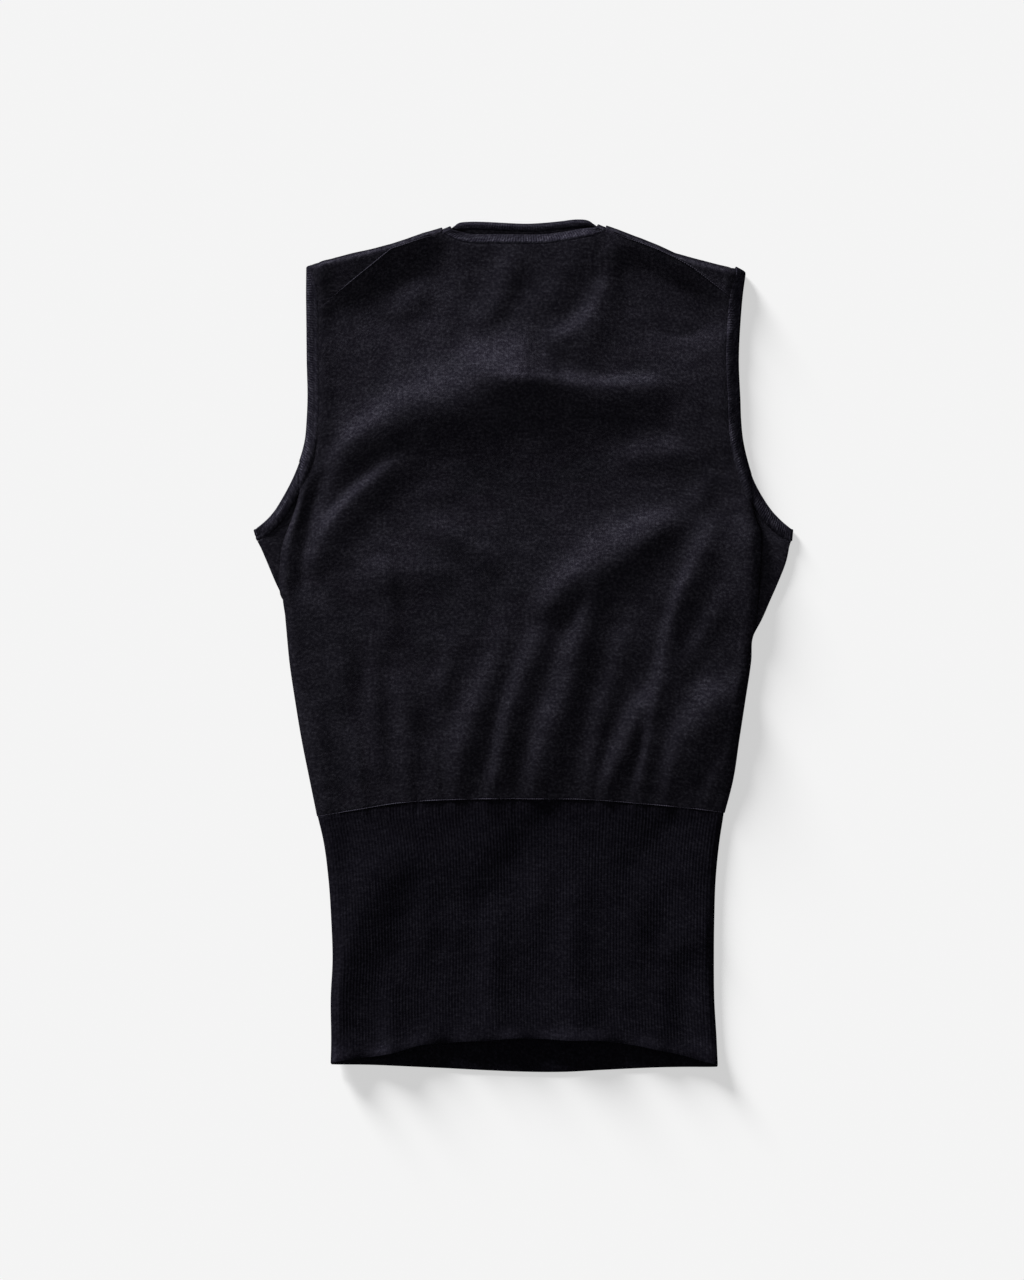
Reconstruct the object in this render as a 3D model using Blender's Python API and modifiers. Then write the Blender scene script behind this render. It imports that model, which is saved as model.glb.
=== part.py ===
"""A sleeveless fine-knit top with a deep ribbed waistband, lying flat with its back upwards.

Units are metres. X runs across the garment, Y from the hem to the neck, and Z up from the surface
that it lies on. Each piece is worked out as a grid of points on the inner side of its cloth, and a
Solidify modifier adds the cloth outwards from there: down from the layer that lies on the surface,
up from the layer on top of it, and round the outside where a piece turns over an edge.
"""

import bpy
import numpy as np

for old in list(bpy.data.objects):
    bpy.data.objects.remove(old)
GARMENT = bpy.data.collections.new("knit_top")
bpy.context.scene.collection.children.link(GARMENT)


def table(columns, *rows):
    """The rows' values as one array for each named column."""
    return dict(zip(columns.split(), np.array(rows, float).T))


JERSEY_COLOUR = (0.0103, 0.0097, 0.0137)  # black with a trace of violet, the light side of the jersey
RIB_COLOUR = (0.0070, 0.0066, 0.0098)
TRIM_COLOUR = (0.0110, 0.0104, 0.0146)
ROUGHNESS = 0.9

# Cloth
JERSEY = 0.0012  # wall of the two jersey panels
RIB = 0.0016  # wall of the ribbed waistband
TRIM = 0.0016  # wall of the bands at the armholes and the neck
SEAM_GAP = 0.0004  # between two pieces that meet at a seam
REST = RIB + SEAM_GAP  # inner side of the upper layer where it lies on the lower one
ARM_BAND = 0.0080  # width of the band along an armhole
NECK_BAND = 0.0060  # width of the band round the neck
CROWN = 0.0005  # how far the middle of a band stands above its two sides
EDGE_LIP = 0.0014  # flat edge of the upper layer outside its side folds
SIDE_ROUND = 0.0070  # how far in from a side fold the upper layer reaches its full lift
TOP_REACH = 0.0120  # how far below the shoulder seams and neck band the cloth sinks
FOLD_START = 0.0140  # how far in from a side fold the folds reach their full height
TURN_STEPS = 5  # steps round a turned edge
CREST_POINTS = 16  # points along a fold's crest
LONGEST_STEP = 0.0124  # largest spacing of a panel's rows
RIB_ROWS = 13  # rows of points in the waistband

# The seam between jersey and rib, from the left side to the right
WAIST = table(
    "x       y",
    (-0.1535, -0.1268),
    (-0.1290, -0.1228),
    (-0.0950, -0.1172),
    (-0.0400, -0.1140),
    (0.0040, -0.1138),
    (0.0530, -0.1146),
    (0.0830, -0.1170),
    (0.1270, -0.1212),
    (0.1490, -0.1240),
)

# Side seams of the jersey panels, from waist to armpit
SEAMS = table(
    "y       left     right",
    (-0.1250, -0.1535, 0.1490),
    (-0.1000, -0.1590, 0.1560),
    (-0.0700, -0.1650, 0.1606),
    (-0.0400, -0.1700, 0.1652),
    (-0.0110, -0.1742, 0.1695),
    (0.0080, -0.1760, 0.1712),
    (0.0190, -0.1770, 0.1770),
    (0.0340, -0.1786, 0.1836),
    (0.0486, -0.1850, 0.1900),
    (0.0630, -0.1910, 0.1955),
    (0.0772, -0.1971, 0.1984),
)

# The rounded folds along the sides. Above the waist they part from the seams towards the armholes,
# and leave the underarm lying low outside them.
SIDE_FOLDS = table(
    "y       left     right   lift",
    (-0.3110, -0.1430, 0.1436, 0.0020),
    (-0.1250, -0.1535, 0.1490, 0.0026),
    (-0.1000, -0.1590, 0.1560, 0.0040),
    (-0.0400, -0.1700, 0.1652, 0.0050),
    (0.0080, -0.1760, 0.1712, 0.0058),
    (0.0340, -0.1785, 0.1726, 0.0066),
    (0.0600, -0.1785, 0.1740, 0.0068),
    (0.0730, -0.1770, 0.1748, 0.0064),
    (0.0840, -0.1740, 0.1748, 0.0058),
    (0.0940, -0.1700, 0.1722, 0.0050),
    (0.1050, -0.1670, 0.1700, 0.0042),
    (0.1250, -0.1660, 0.1690, 0.0026),
    (0.2800, -0.1660, 0.1690, 0.0014),
)

# Side edges of the waistband, from hem to waist
RIB_SIDES = table(
    "y       left     right",
    (-0.3120, -0.1430, 0.1436),
    (-0.2930, -0.1430, 0.1430),
    (-0.2630, -0.1434, 0.1413),
    (-0.2330, -0.1420, 0.1417),
    (-0.2040, -0.1430, 0.1420),
    (-0.1740, -0.1450, 0.1430),
    (-0.1440, -0.1490, 0.1460),
    (-0.1250, -0.1535, 0.1490),
)

# The hem of the upper layer, the back, and the longer one of the lower layer, the front
HEM = table(
    "x       back     front",
    (-0.1430, -0.3095, -0.3102),
    (-0.1250, -0.3055, -0.3108),
    (-0.1090, -0.3040, -0.3113),
    (-0.0910, -0.3000, -0.3121),
    (-0.0780, -0.2965, -0.3127),
    (-0.0560, -0.2935, -0.3137),
    (-0.0290, -0.2933, -0.3151),
    (-0.0080, -0.2910, -0.3160),
    (0.0180, -0.2905, -0.3165),
    (0.0290, -0.2932, -0.3164),
    (0.0570, -0.2920, -0.3150),
    (0.0810, -0.2960, -0.3138),
    (0.0980, -0.3000, -0.3131),
    (0.1160, -0.3025, -0.3127),
    (0.1300, -0.3070, -0.3124),
    (0.1436, -0.3110, -0.3120),
)
HEM_LIFT = 0.0026  # how far the middle of the back hem stands off the front
HEM_REACH = 0.0300  # how far above the hem that lift fades

# The armhole edges from the armpit, beside its turn, to the shoulder
ARMHOLES = table(
    "left_x   left_y  right_x right_y",
    (-0.1986, 0.0860, 0.1986, 0.0860),
    (-0.1900, 0.0930, 0.1900, 0.0930),
    (-0.1840, 0.1000, 0.1835, 0.1000),
    (-0.1790, 0.1080, 0.1780, 0.1080),
    (-0.1710, 0.1230, 0.1700, 0.1230),
    (-0.1650, 0.1380, 0.1652, 0.1380),
    (-0.1612, 0.1525, 0.1620, 0.1525),
    (-0.1598, 0.1680, 0.1605, 0.1680),
    (-0.1592, 0.1820, 0.1600, 0.1820),
    (-0.1598, 0.2120, 0.1588, 0.2120),
    (-0.1600, 0.2420, 0.1600, 0.2400),
    (-0.1602, 0.2620, 0.1616, 0.2600),
    (-0.1606, 0.2786, 0.1632, 0.2756),
)
ARMPIT_JOIN = {"left": (-0.1951, 0.0790), "right": (0.1964, 0.0790)}
ARMPIT_TURN = {"left": (-0.0005, -0.0002, 0.0), "right": (0.0005, -0.0002, 0.0)}
SHOULDER_TURN = {"left": (-0.0003, 0.0012, 0.0), "right": (0.0003, 0.0012, 0.0)}

# Both shoulders: the fold at the top, the slanting seam on the back, and how high the cloth stands
SHOULDERS = table(
    "x       fold    seam    lift",
    (-0.1606, 0.2816, 0.2437, 0.0008),
    (-0.1518, 0.2844, 0.2507, 0.0010),
    (-0.1390, 0.2884, 0.2610, 0.0018),
    (-0.1250, 0.2919, 0.2723, 0.0024),
    (-0.1120, 0.2947, 0.2827, 0.0028),
    (-0.0980, 0.2985, 0.2940, 0.0030),
    (-0.0870, 0.3020, 0.2976, 0.0030),
    (-0.0740, 0.3067, 0.3023, 0.0028),
    (-0.0622, 0.3103, 0.3058, 0.0026),
    (0.0632, 0.3118, 0.3073, 0.0026),
    (0.0740, 0.3073, 0.3029, 0.0028),
    (0.0870, 0.3027, 0.2983, 0.0030),
    (0.1000, 0.2975, 0.2931, 0.0030),
    (0.1120, 0.2918, 0.2874, 0.0028),
    (0.1250, 0.2880, 0.2801, 0.0024),
    (0.1380, 0.2845, 0.2702, 0.0018),
    (0.1540, 0.2806, 0.2580, 0.0010),
    (0.1636, 0.2786, 0.2506, 0.0008),
)

# The neck band's two free edges. Lean is how far sideways its seam lies from its edge.
NECK = table(
    "x       back    front   lean",
    (-0.0548, 0.3088, 0.3106, -0.0056),
    (-0.0480, 0.3068, 0.3140, -0.0032),
    (-0.0410, 0.3046, 0.3146, -0.0014),
    (-0.0310, 0.3042, 0.3140, 0.0000),
    (-0.0210, 0.3043, 0.3133, 0.0000),
    (-0.0100, 0.3041, 0.3126, 0.0000),
    (0.0030, 0.3040, 0.3120, 0.0000),
    (0.0160, 0.3043, 0.3130, 0.0000),
    (0.0290, 0.3059, 0.3146, 0.0000),
    (0.0400, 0.3078, 0.3157, 0.0014),
    (0.0480, 0.3090, 0.3158, 0.0032),
    (0.0558, 0.3104, 0.3122, 0.0056),
)
NECK_LIFT = 0.0026
NECK_TURN = {"left": (-0.0006, 0.0015, 0.0), "right": (0.0006, 0.0015, 0.0)}

# Folds of the upper layer: height, width of the gentle side, width of the steep side, and the route of
# the crest, which runs so that its gentle side is on the left
JERSEY_FOLDS = (
    # arch across the shoulder blades: left limb, right limb, branch towards the neck
    (0.0095, 0.027, 0.014, ((-0.146, 0.130), (-0.103, 0.176), (-0.059, 0.201), (-0.022, 0.216))),
    (0.0080, 0.024, 0.012, ((-0.022, 0.216), (0.019, 0.206), (0.060, 0.198), (0.098, 0.192))),
    (0.0030, 0.016, 0.016, ((0.027, 0.224), (0.045, 0.246), (0.062, 0.272))),
    # under the left armhole
    (0.0065, 0.016, 0.013, ((-0.159, 0.069), (-0.143, 0.103), (-0.103, 0.133), (-0.083, 0.138))),
    # from the middle up to the right armhole
    (0.0070, 0.025, 0.014, ((0.006, 0.036), (0.040, 0.074), (0.086, 0.098), (0.126, 0.114))),
    # long fold on the right, and its branch
    (0.007, 0.015, 0.010, ((0.055, -0.116), (0.084, -0.052), (0.103, -0.005), (0.116, 0.046), (0.138, 0.090))),
    (0.0035, 0.009, 0.008, ((0.081, -0.116), (0.088, -0.069), (0.098, -0.033))),
    # beside the right side seam
    (0.0060, 0.016, 0.013, ((0.105, -0.116), (0.119, -0.060), (0.156, -0.015))),
    # gathers above the waist, from right to left
    (0.0060, 0.012, 0.010, ((-0.004, -0.116), (0.010, -0.080), (0.033, -0.006), (0.048, 0.019))),
    (0.0050, 0.011, 0.009, ((-0.018, -0.116), (-0.018, -0.084), (-0.008, -0.030))),
    (0.0030, 0.014, 0.013, ((-0.055, -0.116), (-0.052, -0.088), (-0.050, -0.055))),
    (0.0030, 0.015, 0.014, ((-0.092, -0.118), (-0.094, -0.070), (-0.095, -0.028))),
)
RIB_FOLDS = (
    (0.0022, 0.020, 0.018, ((-0.126, -0.240), (-0.112, -0.190), (-0.120, -0.140))),
    (0.0020, 0.015, 0.015, ((-0.031, -0.300), (-0.031, -0.250), (-0.029, -0.205))),
    (0.0022, 0.016, 0.016, ((0.029, -0.300), (0.031, -0.240), (0.030, -0.180))),
    (0.0020, 0.018, 0.016, ((0.126, -0.255), (0.112, -0.215), (0.106, -0.180))),
)
# How much of a jersey fold's height is left where it runs down into the rib
GATHERED = table(
    "above_waist share",
    (-0.030, 0.00),
    (-0.001, 0.45),
    (0.032, 1.00),
)


def between(at, xs, ys):
    """Smooth curve through the points xs, ys: cubic pieces with the slopes of the chords beside them."""
    slopes = np.gradient(ys, xs)
    piece = np.clip(np.searchsorted(xs, at) - 1, 0, len(xs) - 2)
    span = xs[piece + 1] - xs[piece]
    t = np.clip((at - xs[piece]) / span, 0, 1)
    keep, move = (1 + 2 * t) * (1 - t) ** 2, t * (1 - t) ** 2
    return (
        keep * ys[piece]
        + (1 - keep) * ys[piece + 1]
        + span * (move * slopes[piece] - t**2 * (1 - t) * slopes[piece + 1])
    )


def smooth_step(at):
    """0 up to 0, 1 from 1, and a soft rise between them."""
    t = np.clip(at, 0, 1)
    return t * t * (3 - 2 * t)


def refined(points):
    """The same polyline with no step longer than LONGEST_STEP."""
    points = np.asarray(points, float)
    pieces = [points[:1]]
    for start, end in zip(points[:-1], points[1:]):
        steps = int(np.ceil(np.linalg.norm(end - start) / LONGEST_STEP))
        pieces.append(start + (end - start) * (np.arange(1, steps + 1) / steps)[:, None])
    return np.concatenate(pieces)


def offset_inwards(points, distance, inward_sign):
    """The polyline moved sideways by distance: to its right where inward_sign is 1, else to its left."""
    along = np.gradient(points, axis=0)
    along /= np.linalg.norm(along, axis=1)[:, None]
    return points + inward_sign * distance * np.column_stack((along[:, 1], -along[:, 0]))


def armhole(side):
    """(edge, seam, panel): the armhole's free edge, its band's seam line, and the panel's line beside it."""
    edge = refined(np.column_stack((ARMHOLES[side + "_x"], ARMHOLES[side + "_y"])))
    inward_sign = 1 if side == "left" else -1
    seam = offset_inwards(edge, ARM_BAND, inward_sign)
    panel = offset_inwards(edge, ARM_BAND + SEAM_GAP, inward_sign)
    seam[0] = ARMPIT_JOIN[side]
    panel[0] = seam[0] + (0, -2 * SEAM_GAP)
    return edge, seam, panel


ARM = {side: armhole(side) for side in ("left", "right")}


def neck_lines():
    """The neck band's free edges and seam lines, as two arrays of points for each layer."""
    drop = np.sqrt(NECK_BAND**2 - NECK["lean"] ** 2)
    lines = {}
    for layer in ("back", "front"):
        edge = np.column_stack((NECK["x"], NECK[layer]))
        lines[layer] = edge, edge + np.column_stack((NECK["lean"], -drop))
    return lines


def top_line():
    """The seam along the top of the back panel: both shoulders' rows, and the neck band's between them."""
    neck = NECK_LINES["back"][1][1:-1]
    left = SHOULDERS["x"] < 0

    def joined(shoulder_values, neck_values):
        return np.concatenate((shoulder_values[left], neck_values, shoulder_values[~left]))

    return {
        "x": joined(SHOULDERS["x"], neck[:, 0]),
        "y": joined(SHOULDERS["seam"], neck[:, 1]),
        "lift": joined(SHOULDERS["lift"], np.full(len(neck), NECK_LIFT)),
        "is_neck": joined(np.zeros(len(left), bool), np.ones(len(neck), bool)),
    }


NECK_LINES = neck_lines()
TOP_LINE = top_line()


def seam_on_back(x):
    """The seam along the top of the back panel: shoulder seams, and the neck band's between them."""
    return np.interp(x, TOP_LINE["x"], TOP_LINE["y"])


def side_x(side, y):
    """Where a jersey panel ends: at its side seam below the armpit, at the armhole's band above it."""
    panel = ARM[side][2]
    return np.interp(
        y,
        np.concatenate((SEAMS["y"], panel[:, 1])),
        np.concatenate((SEAMS[side], panel[:, 0])),
    )


def fold_x(side, y):
    """Where the upper layer begins to rise beside a side fold, never outside the panel itself."""
    fold = np.interp(y, SIDE_FOLDS["y"], SIDE_FOLDS[side])
    limit = np.where(y < WAIST["y"].min(), np.interp(y, RIB_SIDES["y"], RIB_SIDES[side]), side_x(side, y))
    return np.maximum(fold, limit + EDGE_LIP) if side == "left" else np.minimum(fold, limit - EDGE_LIP)


def fold_height(x, y, height, gentle, steep, route):
    """A soft ridge: a bell curve of the distance to its crest, wider on the left of it than on the right."""
    stops = np.array(route)
    lengths = np.append(0, np.cumsum(np.linalg.norm(np.diff(stops, axis=0), axis=1)))
    at = np.linspace(0, lengths[-1], CREST_POINTS)
    crest = np.column_stack([between(at, lengths, stops[:, axis]) for axis in (0, 1)])
    run = np.diff(crest, axis=0)
    away = np.stack((x, y), axis=-1)[..., None, :] - crest[:-1]
    t = np.clip((away * run).sum(-1) / (run**2).sum(-1), 0, 1)
    gap = np.linalg.norm(away - t[..., None] * run, axis=-1)
    nearest = gap.argmin(-1)[..., None]
    distance = np.take_along_axis(gap, nearest, -1)[..., 0]
    left = (run[:, 0] * away[..., 1] - run[:, 1] * away[..., 0]) / np.linalg.norm(run, axis=1)
    left = np.take_along_axis(left, nearest, -1)[..., 0]
    along = (nearest[..., 0] + np.take_along_axis(t, nearest, -1)[..., 0]) / len(run)
    lean = 0.5 + 0.5 * np.clip(left / (distance + 1e-9), -1, 1)
    width = steep + (gentle - steep) * lean
    ends = smooth_step(6 * along + 0.4) * smooth_step(6 * (1 - along) + 0.4)
    return height * ends * np.exp(-((distance / width) ** 2))


def upper_height(x, y):
    """Height of the upper layer's inner side: rounded sides, folds, and lift at shoulders, neck and hem."""
    inward = np.minimum(x - fold_x("left", y), fold_x("right", y) - x)
    lift = np.interp(y, SIDE_FOLDS["y"], SIDE_FOLDS["lift"])
    sides = lift * np.sqrt(1 - (1 - np.clip(inward / SIDE_ROUND, 0, 1)) ** 2)
    above_waist = y - between(x, WAIST["x"], WAIST["y"])
    gathered = np.interp(above_waist, GATHERED["above_waist"], GATHERED["share"])
    folds = gathered * sum(fold_height(x, y, *fold) for fold in JERSEY_FOLDS)
    folds += sum(fold_height(x, y, *fold) for fold in RIB_FOLDS)
    below_top = seam_on_back(x) - y
    lift_at_top = np.interp(x, TOP_LINE["x"], TOP_LINE["lift"])
    top = lift_at_top * np.exp(-((np.maximum(below_top, 0) / TOP_REACH) ** 2))
    above_hem = y - np.interp(x, HEM["x"], HEM["back"])
    hem = HEM_LIFT * np.clip(1 - (x / HEM["x"][-1]) ** 2, 0, 1) * np.exp(-((above_hem / HEM_REACH) ** 2))
    return REST + sides + folds * smooth_step(inward / FOLD_START) + top + hem


# Columns of the panels: the side edges, four beside each side fold, and one through each point of that
# line. Each stands a share of the way from fold to fold, and a step to the right.
AT_TOP = [fold_x(side, TOP_LINE["y"].max()) for side in ("left", "right")]
is_inner = (TOP_LINE["x"] > AT_TOP[0] + SIDE_ROUND) & (TOP_LINE["x"] < AT_TOP[1] - SIDE_ROUND)
inner = (TOP_LINE["x"][is_inner] - AT_TOP[0] - SIDE_ROUND) / (AT_TOP[1] - AT_TOP[0] - 2 * SIDE_ROUND)
rise = np.array((0.0, 0.15, 0.45, 1.0))
COLUMN_SHARE = np.concatenate((np.zeros(5), inner, np.ones(5)))
COLUMN_STEP = SIDE_ROUND * np.concatenate(((0,), rise, 1 - 2 * inner, -rise[::-1], (0,)))
IS_NECK = np.concatenate((np.zeros(5, bool), TOP_LINE["is_neck"][is_inner], np.zeros(5, bool)))


def column_x(y):
    """X of each column at its own height y; the last axis of y has one value for each column."""
    low, high = fold_x("left", y), fold_x("right", y)
    x = low + COLUMN_SHARE * (high - low) + COLUMN_STEP
    x[..., 0] = side_x("left", y[..., 0])
    x[..., -1] = side_x("right", y[..., -1])
    return x


def waist_line():
    """The waist seam's point in each column."""
    x = column_x(np.full(len(COLUMN_SHARE), WAIST["y"].mean()))
    return x, between(x, WAIST["x"], WAIST["y"])


def column_tops(top_y):
    """Y at which each column meets the line top_y(x)."""
    y = np.full(len(COLUMN_SHARE), SEAMS["y"][-1])
    for _ in range(8):
        y = top_y(column_x(y))
    return y


def panel_rows(top_y):
    """Plan points of a jersey panel, from the waist seam to top_y(x), with the armhole lines kept exactly."""
    armpit_y = SEAMS["y"][-1]
    waist_y = waist_line()[1] + SEAM_GAP / 2
    steps = int(np.ceil((armpit_y - waist_y.min()) / LONGEST_STEP))
    rows = [waist_y + (armpit_y - waist_y) * step / steps for step in range(steps + 1)]
    peak = column_tops(top_y)
    climbs = []
    for side, top in (("left", peak[0]), ("right", peak[-1])):
        line = ARM[side][2][:, 1]
        climbs.append((np.append(line[line < top - 4 * SEAM_GAP], top) - armpit_y) / (top - armpit_y))
    count = min(map(len, climbs))
    for left_climb, right_climb in zip(*(np.append(climb[: count - 1], 1) for climb in climbs)):
        rows.append(armpit_y + (peak - armpit_y) * (left_climb + (right_climb - left_climb) * COLUMN_SHARE))
    y = np.array(rows)
    x = column_x(y)
    x[0] = waist_line()[0]
    return x, y


def turned(lower, upper, out):
    """Points round a turned edge, from the lower layer to the upper one: half an oval that bulges by out."""
    angle = np.pi * np.arange(1, TURN_STEPS) / TURN_STEPS
    middle, half = (lower + upper) / 2, (lower - upper) / 2
    return [middle + half * np.cos(a) + out * np.sin(a) for a in angle]


def cloth(name, points, wall, colour, outwards_down=False, closed=False, keep=None):
    """One piece: faces between neighbours of the grid where keep allows, and a wall on their outer side."""
    rows, columns = points.shape[:2]
    index = np.arange(rows * columns).reshape(rows, columns)
    if closed:
        index = np.vstack((index, index[:1]))
    quads = np.stack((index[:-1, :-1], index[:-1, 1:], index[1:, 1:], index[1:, :-1]), axis=-1)
    quads = quads[keep] if keep is not None else quads.reshape(-1, 4)
    if outwards_down:
        quads = quads[:, ::-1]
    used, quads = np.unique(quads, return_inverse=True)
    mesh = bpy.data.meshes.new(name)
    mesh.from_pydata(points.reshape(-1, 3)[used].tolist(), [], quads.reshape(-1, 4).tolist())
    mesh.shade_smooth()
    piece = bpy.data.objects.new(name, mesh)
    solidify = piece.modifiers.new("wall", "SOLIDIFY")
    solidify.thickness = wall
    solidify.offset = 1.0
    material = bpy.data.materials.new(name)
    material.use_nodes = True
    shader = material.node_tree.nodes["Principled BSDF"]
    shader.inputs["Base Color"].default_value = (*colour, 1.0)
    shader.inputs["Roughness"].default_value = ROUGHNESS
    shader.inputs["Metallic"].default_value = 0.0
    mesh.materials.append(material)
    GARMENT.objects.link(piece)
    return piece


def body_back():
    """Back panel: from the waist seam to the neck band and the shoulder seams, with its folds."""
    x, y = panel_rows(lambda at: seam_on_back(at) - SEAM_GAP / 2)
    points = np.stack((x, y, upper_height(x, y)), axis=-1)
    cloth("body_back", points, JERSEY, JERSEY_COLOUR)


def body_front():
    """Front panel: flat underneath, and turned over the shoulder folds down to the seams on the back."""
    fold_y = np.interp(TOP_LINE["x"], SHOULDERS["x"], SHOULDERS["fold"])
    base = fold_y - JERSEY - (REST + TOP_LINE["lift"] - JERSEY) / 2
    base[TOP_LINE["is_neck"]] = NECK_LINES["front"][1][1:-1, 1] - SEAM_GAP
    x, y = panel_rows(lambda at: np.interp(at, TOP_LINE["x"], base))
    edge_x, edge_y = x[-1], y[-1]
    lower = np.stack((edge_x, edge_y, np.full_like(edge_x, JERSEY)), axis=-1)
    upper = np.stack((edge_x, edge_y, upper_height(edge_x, edge_y)), axis=-1)
    bulge = (upper - lower)[:, [2]] / 2 * (0, 1, 0)
    seam_y = column_tops(lambda at: seam_on_back(at) + SEAM_GAP / 2)
    flap = []
    for share in (0.0, 0.33, 0.67, 1.0):
        flap_y = edge_y + (seam_y - edge_y) * share
        flap_x = column_x(flap_y)
        flap.append(np.stack((flap_x, flap_y, upper_height(flap_x, flap_y)), axis=-1))
    flat = np.stack((x, y, np.full_like(x, JERSEY)), axis=-1)
    points = np.array([*flat, *turned(lower, upper, bulge), *flap])
    keep = np.ones((len(points) - 1, points.shape[1] - 1), bool)
    keep[len(flat) - 1 :, IS_NECK[:-1] | IS_NECK[1:]] = False
    cloth("body_front", points, JERSEY, JERSEY_COLOUR, outwards_down=True, keep=keep)


def waistband(layer):
    """One half of the ribbed waistband, from its hem up to the waist seam."""
    start_x, waist_y = waist_line()
    shares = (start_x - start_x[0]) / (start_x[-1] - start_x[0])
    hem_x = HEM["x"][0] + (HEM["x"][-1] - HEM["x"][0]) * shares
    hem_y = np.interp(hem_x, HEM["x"], HEM[layer])
    y = hem_y + (waist_y - SEAM_GAP / 2 - hem_y) * np.linspace(0, 1, RIB_ROWS)[:, None]
    left, right = (between(y, RIB_SIDES["y"], RIB_SIDES[side]) for side in ("left", "right"))
    x = left + (right - left) * shares
    x[-1] = start_x
    z = upper_height(x, y) if layer == "back" else np.full_like(x, RIB)
    cloth("waistband_" + layer, np.stack((x, y, z), axis=-1), RIB, RIB_COLOUR, outwards_down=layer == "front")


def band(name, upper, lower, start_turn, end_turn, outwards_down=False):
    """A closed strip along an opening: along the upper layer, round the end, back along the lower one."""
    layers = []
    for (edge, seam), is_upper in ((upper, True), (lower, False)):
        across = np.stack((edge, (edge + seam) / 2, seam), axis=1)
        z = upper_height(across[..., 0], across[..., 1]) if is_upper else np.full(across.shape[:2], TRIM)
        z[1:-1, 1] += CROWN if is_upper else 0
        layers.append(np.concatenate((across, z[..., None]), axis=-1))
    top, bottom = layers
    end = turned(bottom[-1], top[-1], np.array(end_turn))[::-1]
    start = turned(bottom[0], top[0], np.array(start_turn))
    points = np.array([*top, *end, *bottom[::-1], *start])
    cloth(name, points, TRIM, TRIM_COLOUR, outwards_down=outwards_down, closed=True)


def main():
    body_back()
    body_front()
    for layer in ("back", "front"):
        waistband(layer)
    for side in ("left", "right"):
        lines = ARM[side][:2]
        band(
            "armhole_band_" + side,
            lines,
            lines,
            ARMPIT_TURN[side],
            SHOULDER_TURN[side],
            outwards_down=side == "right",
        )
    band("neck_band", NECK_LINES["back"], NECK_LINES["front"], NECK_TURN["left"], NECK_TURN["right"])


main()
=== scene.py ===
"""A sleeveless top in fine black knit, gathered into a deep ribbed waistband, lying flat with its back up.

X runs across the top, Y from its hem to its neck, and Z up from the surface that it lies on. Sizes are in
metres, but the charts and the rows of the folds are in millimetres, as on a knitter's pattern.
"""

import bpy
import numpy as np
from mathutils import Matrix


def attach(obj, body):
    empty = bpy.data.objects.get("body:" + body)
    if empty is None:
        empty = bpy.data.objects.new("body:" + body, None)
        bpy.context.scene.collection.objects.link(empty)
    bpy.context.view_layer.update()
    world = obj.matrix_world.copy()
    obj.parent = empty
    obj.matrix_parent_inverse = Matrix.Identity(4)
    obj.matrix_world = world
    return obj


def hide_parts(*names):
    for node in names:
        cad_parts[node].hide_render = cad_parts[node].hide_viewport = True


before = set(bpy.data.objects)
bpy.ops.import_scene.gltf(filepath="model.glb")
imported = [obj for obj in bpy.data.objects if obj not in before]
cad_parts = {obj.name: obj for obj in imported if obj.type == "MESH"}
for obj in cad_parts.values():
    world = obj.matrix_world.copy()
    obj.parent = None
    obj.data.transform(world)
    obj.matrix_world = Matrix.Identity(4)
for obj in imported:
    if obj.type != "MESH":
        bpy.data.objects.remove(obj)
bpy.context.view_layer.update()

# --- Back panel ------------
# Fine single jersey, knitted in one piece with hollowed armholes and gathered at its lower edge. It lies
# uppermost, with its slack in soft folds. The front's shoulders come over to meet it, and bands finish it.


def rows_of(text):
    """Rows of numbers in millimetres, with commas between the rows, as an array in metres."""
    return np.array([row.split() for row in text.split(",")], float) / 1000


def chart(columns, text):
    """A chart's rows as one array for each named column."""
    return dict(zip(columns.split(), rows_of(text).T))


JERSEY = 0.0012  # wall of the jersey
RIB = 0.0016  # wall of the waistband
SEAM_GAP = 0.0004  # between two pieces that meet at a seam
REST = RIB + SEAM_GAP  # height of the upper layer's inner side where it lies flat
LEAST_LIFT = 0.0002  # what it keeps above that in the deepest hollow
ARM_BAND = 0.0080  # width of the band along an armhole
NECK_BAND = 0.0060  # width of the band round the neck
EDGE_ROUND = 0.0016  # radius of the rounded edge at a side seam
LIP = EDGE_ROUND + SEAM_GAP  # how far in from a side seam the upper layer may begin to rise
SIDE_ROUND = 0.0070  # how far in from a side fold it has reached its full lift
FOLD_START = 0.0060  # and its folds their full height
INWARDS = {"left": 1, "right": -1}  # the way in along X

# The seam between jersey and rib
WAIST = chart(
    "x y",
    "-153.5 -126.8, -129 -122.8, -95 -117.2, -40 -114, 4 -113.8, 53 -114.6, 83 -117, 127 -121.2, 149 -124",
)

# Side seams of the jersey panels, from waist to armpit
SEAMS = chart(
    "y left right",
    "-127 -153.5 149, -100 -159 156, -70 -165 160.6, -40 -170 165.2, -11 -174.2 169.5, 8 -176 171.2, "
    "19 -177 177, 34 -178.6 183.6, 48.6 -185 190, 63 -191 195.5, 77.2 -197.1 198.4",
)

# The rounded folds along the sides. Above the waist they part from the seams towards the armholes, and
# hang by up to overhang over the underarm, which lies low outside them.
SIDE_FOLDS = chart(
    "y left right lift overhang round",
    "-127 -153.5 149 2.6 0 7, -100 -159 156 4 0 7, -40 -170 165.2 5 0 7, 8 -176 171.2 5.8 0.2 5.6, "
    "34 -178.5 172.6 6.6 1.4 3.8, 60 -178.5 174 6.8 1.8 3.4, 73 -177 174.8 6.4 1.8 3.4, "
    "84 -174 174.8 5.8 1.4 3.4, 94 -171 172.2 5 0.4 3.8, 105 -167.8 170 4.2 0 4.4, "
    "125 -165.6 168 3.2 0 5.6, 138 -165.2 168 2.8 0 6.6, 160 -170 170 2.4 0 7, 280 -170 170 1.8 0 7",
)

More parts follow.
